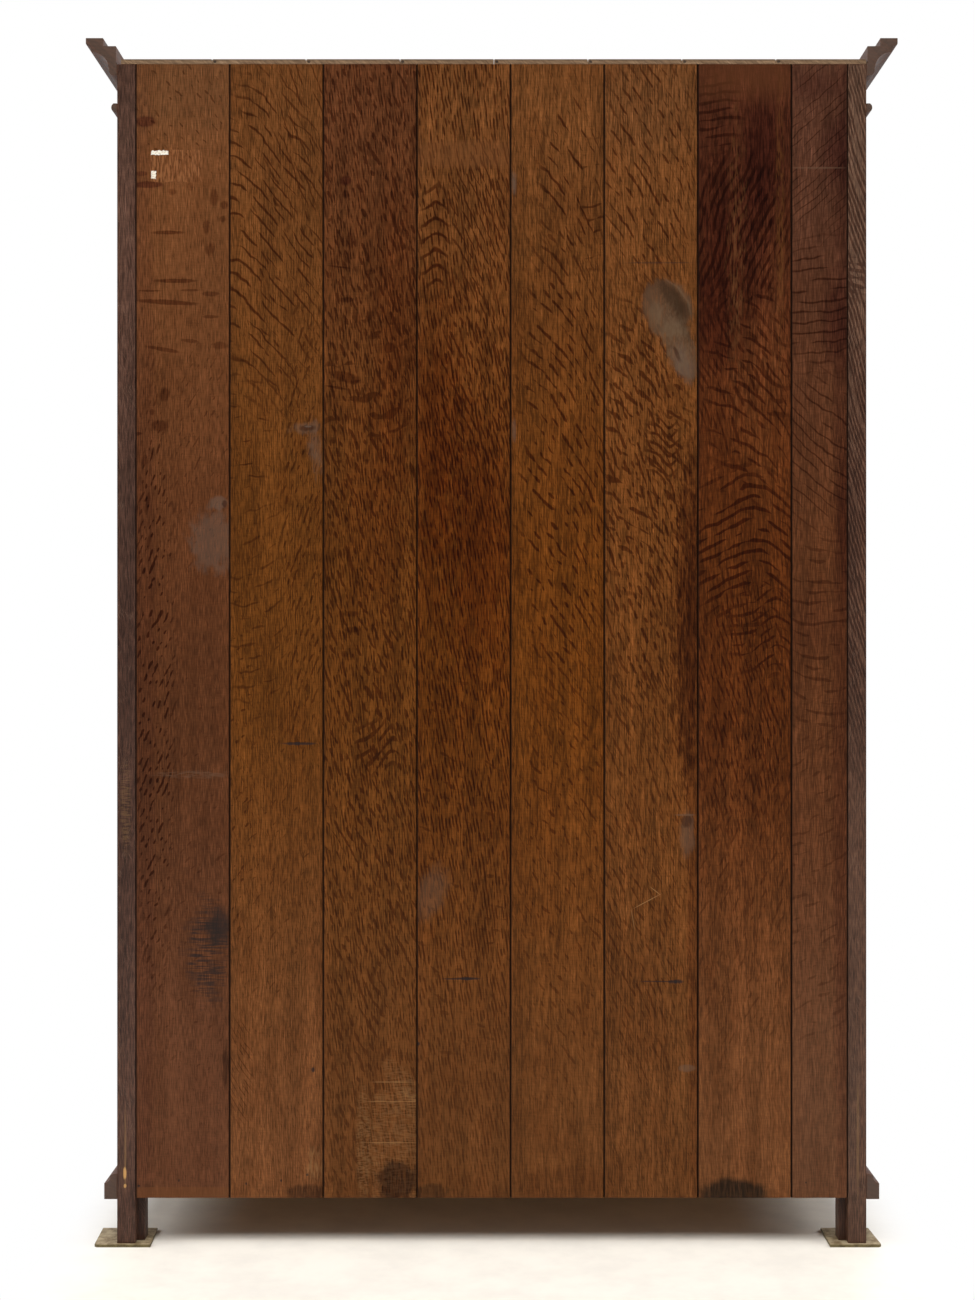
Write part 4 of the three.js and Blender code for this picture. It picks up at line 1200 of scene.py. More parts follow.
def board_3() -> Oak:
    """A rusty board with short flecks, and kerfs and a stain at its foot."""
    return Oak(
        (Tone.TAN, Tone.AMBER, Tone.RUSSET),
        (
            Flecks(0.034, 7, 0, 3.5, 0.016, 0.6, 0.58, 0.85),
            Flecks(0.034, -0.45, 0, 2.5, 0.026, 0.5, 0.52, 0.75, region=Region(0.21, 1.41, 0.09, 0.16)),
            Flecks(0.021, -0.3, 0, 1.6, 0.03, 0.5, 0.7, 0.85, -0.03, 0.0257, 0.02, Region(0.19, 0.83, 0.042, 0.045)),
            Flecks(0.03, -1.8, 0, 3.5, 0.016, 0.55, 0.44, 0.7, region=Region(0.262, 1.76, 0.022, 0.13)),
            Flecks(0.03, 2.4, 0, 4, 0.018, 0.55, 0.55, 0.85),
        ),
        (
            shade(0.16, 1.5, 0.03, 0.24, 0.5, colour=RUST, edge=0.7, ragged=2.2),
            shade(0.19, 1.2, 0.05, 0.16, 0.4, colour=RUST, edge=0.7, ragged=2.4),
            shade(0.2412, 1.7637, 0.0085, 0.0085, 0.9, colour=PURPLE),
            *shades(
                (0.2425, 1.7415, 0.006, 0.0065, 0.8), (0.235, 1.6655, 0.0055, 0.013, 0.75),
                (0.2405, 1.637, 0.006, 0.011, 0.65),
            ),
            shade(0.2525, 1.621, 0.0185, 0.0016, 0.8, -7, **BAR),
            *shades(
                (0.2, 1.613, 0.008, 0.005, 0.75), (0.24, 1.5665, 0.013, 0.004, 0.75),
                (0.2235, 1.5385, 0.0055, 0.0125, 0.7, 20), (0.242, 1.4385, 0.026, 0.0085, 0.9, -14),
            ),
            *shades(
                (0.257, 1.4215, 0.02, 0.002, 0.9, -10), (0.2335, 1.047, 0.0135, 0.0045, 0.75),
                (0.232, 1.0205, 0.0125, 0.005, 0.75), **BAR,
            ),
            *shades((0.2435, 0.9805, 0.006, 0.0055, 0.7), (0.2405, 0.9325, 0.004, 0.0055, 0.7)),
            Mark(0.16, 0.16, 0.038, 0.1, Tone.RAW.value, 0.2, power=7, edge=0.06, ragged=0.12, streak=HATCH),
            Mark(0.147, 0.27, 0.018, 0.05, Tone.RAW.value, 0.18, turn=38, edge=0.2, ragged=0.2, streak=HATCH),
            Mark(0.212, 0.17, 0.012, 0.09, Tone.RAW.value, 0.26, ragged=0.3, streak=RASPED),
            Mark(0.165, 0.272, 0.035, 0.0009, Tone.RAW.value, 0.45, ragged=0.5),
            Mark(0.165, 0.2395, 0.045, 0.0009, Tone.RAW.value, 0.45, ragged=0.5),
            Mark(0.165, 0.1716, 0.045, 0.0009, Tone.RAW.value, 0.4, ragged=0.5),
            shade(0.156, 0.108, 0.034, 0.034, 0.9, colour=(0.2, 0.19, 0.26, 1), edge=0.3, ragged=1.2),
        ),
        fade=0.4,
        **BACK,
    )


def board_4() -> Oak:
    """A glowing board with a ladder of arches near its top."""
    return Oak(
        (Tone.TAN, Tone.EMBER, Tone.TAN),
        (
            Flecks(0.034, 6, 0, 4, 0.018, 0.6, 0.6, 0.95),
            Flecks(
                0.0262, 0.0, 0, 0.3, 0.05, 0.34, 0.95, 1.0, -0.017, -0.056, 0.016, Region(0.094, 1.67, 0.024, 0.1),
            ),
            Flecks(0.026, 2.0, 3, 2, 0.024, 0.34, 0.68, 0.95, region=Region(0.02, 1.7, 0.05, 0.14)),
            Flecks(0.026, 2.6, 3, 3, 0.018, 0.5, 0.6, 0.9, region=Region(0.03, 1.42, 0.07, 0.2)),
            Flecks(0.022, 0.5, 0, 3, 0.018, 0.45, 0.45, 0.65, region=Region(0.05, 0.6, 0.09, 0.4)),
        ),
        (
            *shades((0.09, 1.34, 0.04, 0.2, 0.7), (0.02, 1.16, 0.045, 0.2, 0.65), colour=RUST, edge=0.7, ragged=2.4),
            Mark(0.047, 1.808, 0.085, 0.022, Tone.SAND.value, 0.4, power=5, edge=0.3, ragged=0.3),
            Mark(0.1, 0.585, 0.022, 0.042, GREY_WEAR, 0.35, turn=-24, ragged=1.0, edge=0.5),
            slit(0.04, 0.443, 0.016, 0.0024),
            slit(0.05, 0.4425, 0.032, 0.0008),
            slit(0.1215, 0.335, 0.0025, 0.003),
            shade(0.102, 0.09, 0.028, 0.013, 0.85, colour=(0.5, 0.56, 0.7, 1)),
        ),
        fade=0.5,
        **BACK,
    )


def board_5() -> Oak:
    """A honey-coloured board, evenly flecked."""
    return Oak(
        (Tone.TAN, Tone.HONEY, Tone.TAN),
        (
            replace(FINE, slope=2.6, length=0.011, spacing=0.01, coverage=0.48, strength=0.42),
            Flecks(0.021, -0.12, 0, 1.6, 0.02, 0.32, 0.62, 0.85, region=Region(-0.168, 1.73, 0.022, 0.11)),
            Flecks(0.032, 1.8, 6, 2.6, 0.026, 0.34, 0.62, 1.0, region=Region(-0.13, 1.76, 0.05, 0.16)),
            Flecks(0.024, 1.6, 4, 3.4, 0.018, 0.42, 0.6, 0.95, region=Region(-0.12, 1.3, 0.08, 0.42)),
            Flecks(0.026, 1.6, 0, 3.2, 0.014, 0.4, 0.54, 0.75, region=Region(-0.12, 0.62, 0.08, 0.42)),
        ),
        (
            Mark(-0.037, 1.757, 0.004, 0.015, LILAC, 0.6, ragged=2.0, edge=0.6),
            Mark(-0.037, 1.35, 0.004, 0.016, LILAC, 0.45, ragged=2.0, edge=0.6),
            shade(-0.12, 0.1, 0.07, 0.03, 0.3),
        ),
        fade=0.4,
        **BACK,
    )


def board_6() -> Oak:
    """The board with the worn grey place and the dark right edge."""
    return Oak(
        (Tone.TAN, Tone.GOLD, Tone.TAN),
        (
            replace(FINE, slope=2.4, length=0.011, spacing=0.01, coverage=0.5, strength=0.45),
            Flecks(0.028, 1.7, 3, 2.8, 0.02, 0.36, 0.6, 0.95, region=Region(-0.26, 1.78, 0.08, 0.2)),
            Flecks(0.026, 1.1, 4, 3.2, 0.022, 0.42, 0.6, 0.9, region=Region(-0.25, 1.34, 0.085, 0.26)),
            Flecks(0.028, 2.6, 0, 4, 0.016, 0.55, 0.6, 0.9, region=Region(-0.25, 1.22, 0.085, 0.36)),
            Flecks(0.027, 2.3, 3, 4.2, 0.022, 0.42, 0.58, 0.72, region=Region(-0.25, 0.66, 0.085, 0.46)),
            Flecks(
                0.016, 0.15, 0, 0.5, 0.05, 0.45, 0.85, 0.95, 0.02, 0.019, 0.014, Region(-0.284, 1.325, 0.028, 0.06),
            ),
        ),
        (
            Mark(-0.29, 1.553, 0.041, 0.047, PATCH_GREY, 0.85, turn=32, ragged=0.7, edge=0.15),
            Mark(-0.312, 1.487, 0.0225, 0.06, PATCH_GREY, 0.85, turn=20, ragged=0.8, edge=0.15),
            Mark(-0.305, 1.564, 0.0125, 0.038, PATCH_CORE, 0.85, turn=40, ragged=1.1, edge=0.4),
            Mark(-0.301, 1.563, 0.017, 0.046, PATCH_CORE, 0.5, turn=38, ragged=1.2, edge=0.5, streak=SPECKLED),
            Mark(-0.3165, 1.532, 0.008, 0.04, PATCH_CORE, 0.6, turn=16, ragged=0.5, edge=0.5),
            Mark(-0.298, 1.517, 0.022, 0.014, PATCH_PALE, 0.45, ragged=1.4, edge=0.6),
            Mark(-0.271, 1.545, 0.012, 0.016, PATCH_PALE, 0.4, ragged=1.0, edge=0.5),
            Mark(-0.316, 1.462, 0.014, 0.03, LILAC, 0.5, turn=20, ragged=1.2, edge=0.5),
            Mark(-0.305, 1.505, 0.026, 0.06, PATCH_PALE, 0.4, turn=24, ragged=1.4, edge=0.5, streak=BROKEN),
            shade(-0.306, 1.478, 0.0035, 0.013, 0.8, 20, ragged=1.2),
            shade(-0.26, 1.92, 0.1, 0.1, 0.6, colour=(0.82, 0.9, 1.1, 1), edge=0.6),
            Mark(-0.296, 1.595, 0.0014, 0.014, PATCH_PALE, 0.4, turn=58, ragged=2.4, edge=0.9),
            Mark(-0.3155, 1.576, 0.0015, 0.017, PATCH_PALE, 0.45, turn=34, ragged=2.6, edge=0.9),
            Mark(-0.328, 1.549, 0.0014, 0.016, PATCH_PALE, 0.4, turn=14, ragged=2.6, edge=0.9),
            Mark(-0.276, 1.628, 0.055, 0.0012, SOOT_AND_SHADE, 0.45, ragged=0.4),
            shade(-0.335, 0.72, 0.012, 0.62, 0.6, colour=(0.6, 0.46, 0.46, 1)),
            shade(-0.324, 1.03, 0.018, 0.27, 0.9, colour=(0.42, 0.34, 0.34, 1), edge=0.35, ragged=1.4),
            shade(-0.318, 1.03, 0.024, 0.26, 0.8, colour=(0.4, 0.3, 0.3, 1), edge=0.4, ragged=2.0, streak=THREADS),
            slit(-0.3043, 0.438, 0.011, 0.0034),
            slit(-0.276, 0.4385, 0.034, 0.0008),
            Mark(-0.324, 0.684, 0.012, 0.034, GREY_WEAR, 0.5, ragged=1.3, edge=0.4),
            shade(-0.322, 0.704, 0.009, 0.01, 0.7),
            Mark(-0.32, 0.714, 0.017, 0.0016, GREY_WEAR, 0.6),
            Mark(-0.323, 0.295, 0.014, 0.006, GREY_WEAR, 0.6),
            Mark(-0.257, 0.571, 0.0007, 0.0245, Tone.RAW.value, 0.6, turn=-62, ragged=0.2),
            Mark(-0.2705, 0.5885, 0.0007, 0.0105, Tone.RAW.value, 0.6, turn=52, ragged=0.2),
            Mark(-0.2335, 0.542, 0.0007, 0.018, Tone.RAW.value, 0.4, turn=10, ragged=0.2),
        ),
        fade=0.15,
        **BACK,
    )


def board_7() -> Oak:
    """The plum-coloured board with wide waves of flecks."""
    return Oak(
        (Tone.SAND, Tone.CHESTNUT, Tone.WINE),
        (
            replace(FINE, slope=5, length=0.014, spacing=0.02, coverage=0.5, strength=0.45),
            Flecks(0.0145, 0.05, 0, 1, 0.05, 0.45, 0.72, 0.8, -0.012, -0.03, 0.05, Region(-0.375, 1.875, 0.04, 0.07)),
            Flecks(0.03, -2.6, 0, 4.5, 0.03, 0.6, 0.66, 0.9, region=Region(-0.41, 1.68, 0.09, 0.14)),
            Flecks(0.026, 1.4, -8, 4, 0.03, 0.55, 0.62, 0.75, region=Region(-0.41, 1.44, 0.09, 0.14)),
            Flecks(0.0175, 0.1, 2, 1.9, 0.034, 0.5, 0.66, 0.95, -0.04, 0.005, 0.06, Region(-0.418, 1.16, 0.1, 0.14)),
            Flecks(0.016, 0, 0, 1.4, 0.03, 0.45, 0.66, 0.9, -0.032, 0.04, 0.03, Region(-0.45, 1.02, 0.06, 0.08)),
            Flecks(0.03, 4, 0, 4, 0.018, 0.55, 0.6, 0.85, region=Region(-0.41, 0.9, 0.09, 0.24)),
            Flecks(0.022, 0.8, 4, 3.6, 0.03, 0.4, 0.62, 0.9, region=Region(-0.43, 1.42, 0.08, 0.2)),
            Flecks(0.026, -2, 0, 3, 0.018, 0.45, 0.52, 0.6, region=Region(-0.418, 0.6, 0.1, 0.36)),
        ),
        (
            shade(-0.45, 1.8, 0.034, 0.1, 0.85, colour=PURPLE, edge=0.6, ragged=1.2),
            shade(-0.4, 1.66, 0.06, 0.14, 0.8, colour=PURPLE, edge=0.6, ragged=1.8),
            shade(-0.373, 1.53, 0.036, 0.08, 0.7, colour=PURPLE, edge=0.6, ragged=1.4),
            Mark(-0.405, 1.66, 0.012, 0.17, Tone.SAND.value, 0.42, edge=0.7, ragged=3.0, streak=FIBRES),
            shade(-0.44, 1.55, 0.05, 0.22, 0.8, colour=(1.6, 1.8, 1.9, 1), edge=0.6, ragged=2.0, streak=STRINGY),
            Mark(-0.477, 1.72, 0.006, 0.2, Tone.TAN.value, 0.55, edge=0.6, ragged=1.2, streak=FIBRES),
            Mark(-0.42, 1.945, 0.09, 0.04, Tone.RUSSET.value, 0.6, power=4, edge=0.7, ragged=0.8),
            shade(-0.458, 1.4, 0.034, 0.2, 0.7, colour=(1.35, 1.45, 1.5, 1), edge=0.6),
            shade(-0.4, 0.082, 0.056, 0.03, 0.95, colour=(0.1, 0.19, 0.35, 1), edge=0.22, ragged=0.5),
        ),
        fade=0.4,
        **BACK,
    )


def board_8() -> Oak:
    """The narrow board at the left post, calm and dark towards the post."""
    return Oak(
        (Tone.CLAY, Tone.RUSSET, Tone.PLUM),
        (
            replace(FINE, slope=4, length=0.012, coverage=0.42, strength=0.3),
            Flecks(0.0145, -0.85, 0, 1.3, 0.05, 0.26, 0.68, 0.85, region=Region(-0.54, 1.83, 0.08, 0.16)),
            Flecks(0.017, -0.15, 0, 1.8, 0.055, 0.3, 0.7, 0.85, region=Region(-0.54, 1.56, 0.08, 0.11)),
            Flecks(0.021, 0.7, -3, 1.6, 0.045, 0.26, 0.68, 0.85, region=Region(-0.54, 1.32, 0.08, 0.13)),
            Flecks(0.018, 0.1, -2, 3, 0.03, 0.4, 0.6, 0.6, region=Region(-0.54, 1.02, 0.08, 0.18)),
            Flecks(0.018, -0.5, 0, 3, 0.02, 0.4, 0.55, 0.5, region=Region(-0.54, 0.6, 0.08, 0.3)),
        ),
        (
            shade(-0.584, 1.0, 0.02, 1.0, 0.75, colour=(0.56, 0.48, 0.52, 1)),
            shade(-0.545, 0.2, 0.1, 0.3, 0.7, colour=(1.06, 1.24, 1.3, 1), edge=0.8),
            *shades(
                (-0.575, 1.81, 0.024, 0.06, 0.75), (-0.572, 1.53, 0.024, 0.07, 0.75),
                (-0.54, 1.92, 0.05, 0.02, 0.45), colour=PURPLE, edge=0.7, ragged=1.2,
            ),
            shade(-0.583, 1.2, 0.01, 0.12, 0.6, colour=PURPLE, edge=0.6, ragged=1.2),
            shade(-0.53, 1.03, 0.034, 0.05, 0.35, colour=PURPLE, edge=0.7, ragged=1.4),
            Mark(-0.54, 1.785, 0.045, 0.0012, GREY_WEAR, 0.5),
            slit(-0.5199, 0.1054, 0.0013, 0.0016),
        ),
        fade=0.35,
        **CALM,
    )


BOARDS = (board_1, board_2, board_3, board_4, board_5, board_6, board_7, board_8)


@dataclass
class BackBoards:
    """The eight upright boards of the back, from the one at the right post on."""

    softening: float = 0.0006
    seed: float = 11.0
    seed_step: float = 6.1
    finishes: tuple[Callable[[], Oak], ...] = BOARDS

    def build(self) -> None:
        """Dresses each board in its own figure and marks."""
        for index, board_finish in enumerate(self.finishes):
            name, finish = f"back_board_{index + 1}", board_finish()
            low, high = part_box(name)
            board = cad(name)
            dress(board, finish.material(name, low, high, Axis.Z, self.seed + self.seed_step * index))
            soften(board, self.softening)
            log.info("board %s dressed with %d marks", name, len(finish.marks))


LEFT_POST_OAK = Oak(
    (Tone.MOCHA, Tone.MOCHA, Tone.DRIFT),
    (
        Flecks(0.02, 3.4, 0, 4.5, 0.1, 0.75, 0.72, 0.85, region=Region(-0.6, 1.42, 0.06, 0.62)),
        Flecks(0.012, 0.3, 0, 3, 0.03, 0.7, 0.75, 0.8, region=Region(-0.598, 1.603, 0.03, 0.036)),
    ),
    (
        shade(-0.6, 1.3, 0.03, 0.22, 0.3),
        shade(-0.6, 0.75, 0.03, 0.36, 0.3, ragged=1.4, edge=0.8),
        # Painted shade: the foot darker where it meets the floor.
        shade(-0.6, 0.02, 0.04, 0.08, 0.3, edge=0.6),
        Mark(-0.606, 0.18, 0.002, 0.09, Tone.RAW.value, 0.25, ragged=1.0, edge=0.5),
        # Painted shadow on the set-back strip of the foot, under the case.
        shade(-0.5815, 0.04, 0.0084, 0.046, 0.8, power=10, ragged=0.05, edge=0.05),
    ),
    roughness=0.42,
    gloss=0.2,
    wear=0.35,
    wear_tone=Tone.WINE,
    scratches=0.32,
    contrast=1.5,
    slot="frame_oak",
)
RIGHT_POST_OAK = replace(
    LEFT_POST_OAK,
    tones=(Tone.SMOKE, Tone.SMOKE, Tone.SMOKE),
    flecks=(Flecks(0.03, 7, 0, 3, 0.05, 0.5, 0.5, 0.4),),
    marks=(
        shade(0.6, 0.86, 0.03, 0.5, 0.5, edge=0.6),
        # Painted shade: the foot darker where it meets the floor, and painted shadow on its set-back strip under the
        # case.
        shade(0.6, 0.02, 0.04, 0.08, 0.3, edge=0.6),
        shade(0.5815, 0.04, 0.0084, 0.046, 0.6, power=10, ragged=0.05, edge=0.05),
        Mark(0.606, 0.73, 0.008, 0.07, Tone.RAW.value, 0.22, ragged=0.8, edge=0.5, streak=SCRAPED),
        Mark(0.6065, 0.16, 0.0015, 0.06, Tone.RAW.value, 0.35, ragged=1.0, edge=0.5),
        Mark(0.6072, 0.1215, 0.0028, 0.009, BRIGHT_CHIP, 0.95, ragged=1.0, edge=0.3),
        Mark(0.6068, 0.1, 0.002, 0.003, BRIGHT_CHIP, 0.95, ragged=0.8, edge=0.3),
    ),
)
POST_OAK = {"left": LEFT_POST_OAK, "right": RIGHT_POST_OAK}
FRONT_OAK = Oak(
    (Tone.FRONT, Tone.FRONT, Tone.FRONT),
    (
        replace(FINE, slope=4, length=0.014, spacing=0.018, coverage=0.45, strength=0.35),
        Flecks(0.026, 1.2, 5, 3, 0.018, 0.4, 0.46, 0.45),
    ),
    roughness=0.4,
    gloss=0.3,
    coat=0.1,
    wear=0.2,
    wear_tone=Tone.UMBER,
    slot="front_oak",
)
SIDE_OAK = replace(FRONT_OAK, tones=(Tone.RUSSET, Tone.RUSSET, Tone.RUSSET), gloss=0.2, coat=0.03, slot="frame_oak")
PANEL_OAK = replace(
    FRONT_OAK,
    flecks=(
        replace(FINE, slope=3, length=0.012, spacing=0.014, coverage=0.45, strength=0.35),
        Flecks(0.03, 0.9, 5, 3, 0.026, 0.36, 0.5, 0.5),
    ),
)
FRONT_MOULDING = replace(FRONT_OAK, tones=(Tone.RUSSET, Tone.RUSSET, Tone.RUSSET))
SIDE_MOULDING = replace(
    SIDE_OAK,
    tones=(Tone.PLUM, Tone.PLUM, Tone.PLUM),
    marks=(Mark(0.0, 1.0, 1.0, 1.4, linear(112, 99, 90), 0.3, power=8, edge=0.1, ragged=0.0),),
)
RAW_OAK = Oak(
    (Tone.RAW, Tone.RAW, Tone.RAW),
    (replace(FINE, coverage=0.4, strength=0.2),),
    roughness=0.68,
    gloss=0.25,
    contrast=0.7,
    slot="raw_oak",
)
ROOF_JOINTS = tuple(0.4628 - 0.1555 * index for index in range(7))
FLOOR_JOINTS = tuple(0.593 - 0.124 * index for index in range(1, 10))
ROOF_OAK = replace(
    RAW_OAK,
    tones=(Tone.ROOF, Tone.ROOF, Tone.ROOF),
    dust=0.55,
    marks=(
        Mark(0.0, 1.9655, 0.7, 0.0026, linear(76, 56, 42), 0.8, power=20, ragged=0.4, edge=0.3),
        # Painted shade: a dark dot beside each roof joint stands for the shadow in the open groove.
        *(Mark(x - 0.0045, 1.9608, 0.0028, 0.0022, SOOT_AND_SHADE, 0.95, ragged=0.3) for x in ROOF_JOINTS),
    ),
)


@dataclass
class Carcass:
    """Posts, rails, side panels, shelf and rail, dressed where they stand."""

    softening: float = 0.0009
    seed: float = 70.0
    seed_step: float = 3.7

    def build(self) -> None:
        """Dresses every fixed wooden piece that keeps the shape of its solid."""
        plan: list[tuple[str, Oak, Axis]] = []
        for side in SIDES:
            plan += [
                (f"rear_post_{side}", POST_OAK[side], Axis.Z),
                (f"front_post_{side}", FRONT_OAK, Axis.Z),
                (f"side_top_rail_{side}", SIDE_OAK, Axis.Y),
                (f"side_bottom_rail_{side}", SIDE_OAK, Axis.Y),
                (f"side_panel_{side}", SIDE_OAK, Axis.Z),
                (f"shelf_bearer_{side}", RAW_OAK, Axis.Y),
            ]
        plan += [(name, FRONT_OAK, Axis.X) for name in ("threshold_rail", "frieze_rail")]
        plan += [("centre_muntin", FRONT_OAK, Axis.Z)]
        plan += [(name, RAW_OAK, Axis.X) for name in ("rear_top_rail", "rear_bottom_rail", "hat_shelf")]
        for index, (name, finish, axis) in enumerate(plan):
            piece = cad(name)
            low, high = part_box(name)
            dress(piece, finish.material(name, low, high, axis, self.seed + self.seed_step * index))
            soften(piece, self.softening)
        self.add_rail()
        log.info("carcass dressed: %d pieces", len(plan) + 1)

    def add_rail(self) -> None:
        """The hanging rail, turned smooth."""
        rail = merged_copy("hanging_rail", "hanging_rail_turned")
        smooth_faces(rail)
        finish = RAW_OAK.material(rail.name, *box_of(rail), Axis.X, self.seed)
        settle(rail, CASE, finish, ["hanging_rail"])


@dataclass
class BoardedSurface:
    """Boards side by side that the solids hold as one piece, parted at their joints. Lengths are in metres."""

    node: str
    board: str
    finish: Oak
    joints: tuple[float, ...]
    gap: float = 0.0005
    softening: float = 0.0005
    round_over: float = 0.0
    seed: float = 150.0
    seed_step: float = 5.3

    def build(self) -> None:
        """Cuts the boards apart and dresses each."""
        low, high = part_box(self.node)
        edges = [low.x - 1, *sorted(self.joints), high.x + 1]
        for index, (start, end) in enumerate(zip(edges, edges[1:])):
            board = merged_copy(self.node, f"{self.board}_{index + 1}")
            sides = (start + self.gap / 2, end - self.gap / 2)
            keep_between(board, 0, *sides)
            if self.round_over:
                self.round_joints(board, sides, high.z)
            ease(board, self.softening)
            finish = self.finish.material(board.name, *box_of(board), Axis.Y, self.seed + self.seed_step * index)
            settle(board, CASE, finish, [self.node])
        log.info("%s parted into %d boards", self.node, len(edges) - 1)

    def round_joints(self, board: bpy.types.Object, sides: tuple[float, float], top: float) -> None:
        """Rounds a board's upper arrises where it meets its neighbours.

        Args:
            board: The board.
            sides: Where its joints are, along X.
            top: Height of its upper face.
        """
        with editing(board) as mesh:
            bpy.ops.mesh.select_mode(type="EDGE")
            for edge in mesh.edges:
                at_top = all(abs(v.co.z - top) < SAME_PLACE for v in edge.verts)
                edge.select_set(at_top and any(all(abs(v.co.x - x) < SAME_PLACE for v in edge.verts) for x in sides))
            bmesh.update_edit_mesh(board.data)
            bpy.ops.mesh.bevel(offset=self.round_over, segments=3)


@dataclass
class Mouldings:
    """Cornice, necking bead and plinth: three lengths of each, mitred at the front corners."""

    softening: float = 0.0006
    seed: float = 210.0
    kind_step: float = 7.9
    length_step: float = 2.6

    def build(self) -> None:
        """Replaces each length with a smoothly shaded one."""
        for row, kind in enumerate(("cornice", "necking_bead", "plinth")):
            for index, place in enumerate(("front", *SIDES)):
                node = f"{kind}_{place}"
                finish, axis = (FRONT_MOULDING, Axis.X) if place == "front" else (SIDE_MOULDING, Axis.Y)
                length = merged_copy(node, f"{node}_run")
                ease(length, self.softening)
                smooth_faces(length)
                seed = self.seed + self.kind_step * row + self.length_step * index
                settle(length, CASE, finish.material(length.name, *box_of(length), axis, seed), [node])
        log.info("mouldings run")


@dataclass
class Doors:
    """The two doors: stiles, rails and panels, with hinges, locks and keys. Lengths are in metres."""

    stile_joints: tuple[float, float] = (0.102, 0.5)
    middle: float = 1.0
    gap: float = 0.0002
    softening: float = 0.0007
    filing: float = 0.0003
    crease: float = 40.0
    seed: float = 300.0
    side_step: float = 11.0
    member_step: float = 2.9
    panel_step: float = 60.0

    def build(self) -> None:
        """Builds both doors."""
        for side, way in SIDES.items():
            self.add_frame(side, way)
            self.dress_panel(side)
            self.add_metal(side)
            log.info("door %s ready", side)

    def add_frame(self, side: str, way: int) -> None:
        """The four members of a door's frame.

        Args:
            side: left or right.
            way: -1 or 1, the side's direction along X.
        """
        node, body = f"door_frame_{side}", f"door_{side}"
        low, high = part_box(node)
        inner, outer = self.stile_joints
        half = self.gap / 2
        spans = {
            "lock_stile": (0.0, inner - half, low.z - 1, high.z + 1, Axis.Z),
            "hinge_stile": (outer + half, 1.0, low.z - 1, high.z + 1, Axis.Z),
            "top_rail": (inner + half, outer - half, self.middle, high.z + 1, Axis.X),
            "bottom_rail": (inner + half, outer - half, low.z - 1, self.middle, Axis.X),
        }
        for index, (member, (near, far, bottom, top, axis)) in enumerate(spans.items()):
            piece = merged_copy(node, f"door_{member}_{side}")
            keep_between(piece, 0, *sorted((way * near, way * far)))
            keep_between(piece, 2, bottom, top)
            ease(piece, self.softening)
            smooth_faces(piece)
            seed = self.seed + self.side_step * (way + 1) + self.member_step * index
            finish = FRONT_OAK.material(piece.name, *box_of(piece), axis, seed)
            settle(piece, body, finish, [node])

    def dress_panel(self, side: str) -> None:
        """The finish of a door's fielded panel."""
        name = f"door_panel_{side}"
        seed = self.seed + self.panel_step + SIDES[side]
        dress(cad(name), PANEL_OAK.material(name, *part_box(name), Axis.Z, seed))
        soften(cad(name), self.softening)

    def add_metal(self, side: str) -> None:
        """Hinge leaves, lock case, bolt and key, smoothly shaded."""
        door = f"door_{side}"
        leaves = [
            (f"hinge_{leaf}_leaf_{level}_{side}", body)
            for level in LEVELS
            for leaf, body in (("fixed", CASE), ("moving", door))
        ]
        iron = [(f"lock_case_{side}", door), *((f"{part}_{side}", f"{part}_{side}") for part in ("lock_bolt", "key"))]
        for metal, pieces in ((BRASS, leaves), (IRON, iron)):
            for node, body in pieces:
                piece = merged_copy(node, f"{node}_filed")
                ease(piece, self.filing, 1)
                smooth_faces(piece, self.crease)
                settle(piece, body, metal.material(metal.slot), [node])


@dataclass
class Screws:
    """Slotted screws in the hinge leaves and at the lock cases.

    Lengths are in metres. A slot's depth is in rises, and an arris is rounded by a rise over the easing.
    """

    radius: float = 0.0035
    sides: int = 24
    rise: float = 0.0006
    slot: float = 0.0008
    slot_depth: float = 1.5
    turn_step: float = 0.7
    easing: float = 6.0
    case_inset: float = 0.006
    joint_x: float = 0.576
    leaf_play: float = 0.00015
    leaf_rise: float = 0.0001
    leaf_y: float = -0.236
    hinge_levels: tuple[float, float] = (0.36, 1.6577)
    hinge_steps: tuple[float, float, float] = (-0.024, 0.0, 0.024)
    count: int = 0

    def build(self) -> None:
        """Sets the screws of both locks and all four hinges."""
        for side, way in SIDES.items():
            low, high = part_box(f"lock_case_{side}")
            for x in (low.x + self.case_inset, high.x - self.case_inset):
                for z in (low.z + self.case_inset, high.z - self.case_inset):
                    self.add_screw((x, high.y, z), Vector((0, 1, 0)), f"door_{side}", IRON, self.rise)
            for z in (level + step for level in self.hinge_levels for step in self.hinge_steps):
                for body, out in ((CASE, 1), (f"door_{side}", -1)):
                    place = (way * (self.joint_x + out * self.leaf_play), self.leaf_y, z)
                    self.add_screw(place, Vector((-out * way, 0, 0)), body, BRASS, self.leaf_rise)
        log.info("%d screws set", self.count)

    def add_screw(self, place: Point, facing: Vector, body: str, metal: Metal, rise: float) -> None:
        """One slotted screw head, sunk by as much as it stands out.

        Args:
            place: The middle of its seat.
            facing: The way that its head looks.
            body: The body that it rides on.
            metal: Its finish.
            rise: How far it stands out of its seat.
        """
        self.count += 1
        add = bpy.ops.mesh.primitive_cylinder_add
        head = new_shape(f"screw_{self.count}", add, vertices=self.sides, radius=self.radius, depth=2 * rise)
        with editing(head):
            for edge in (-self.slot / 2, self.slot / 2):
                bpy.ops.mesh.select_all(action="SELECT")
                bpy.ops.mesh.bisect(plane_co=(edge, 0, 0), plane_no=(1, 0, 0))
            pick_faces(head, lambda face: face.normal.z > 0.9 and abs(face.calc_center_median().x) < self.slot / 2)
            bpy.ops.mesh.extrude_region_move(TRANSFORM_OT_translate={"value": (0, 0, -rise * self.slot_depth)})
        turn = Matrix.Rotation(self.turn_step * self.count, 4, "Z")
        upright = facing.to_track_quat("Z", "Y").to_matrix().to_4x4()
        head.data.transform(Matrix.Translation(place) @ upright @ turn)
        ease(head, rise / self.easing, 1)
        smooth_faces(head)
        settle(head, body, metal.material(metal.slot))


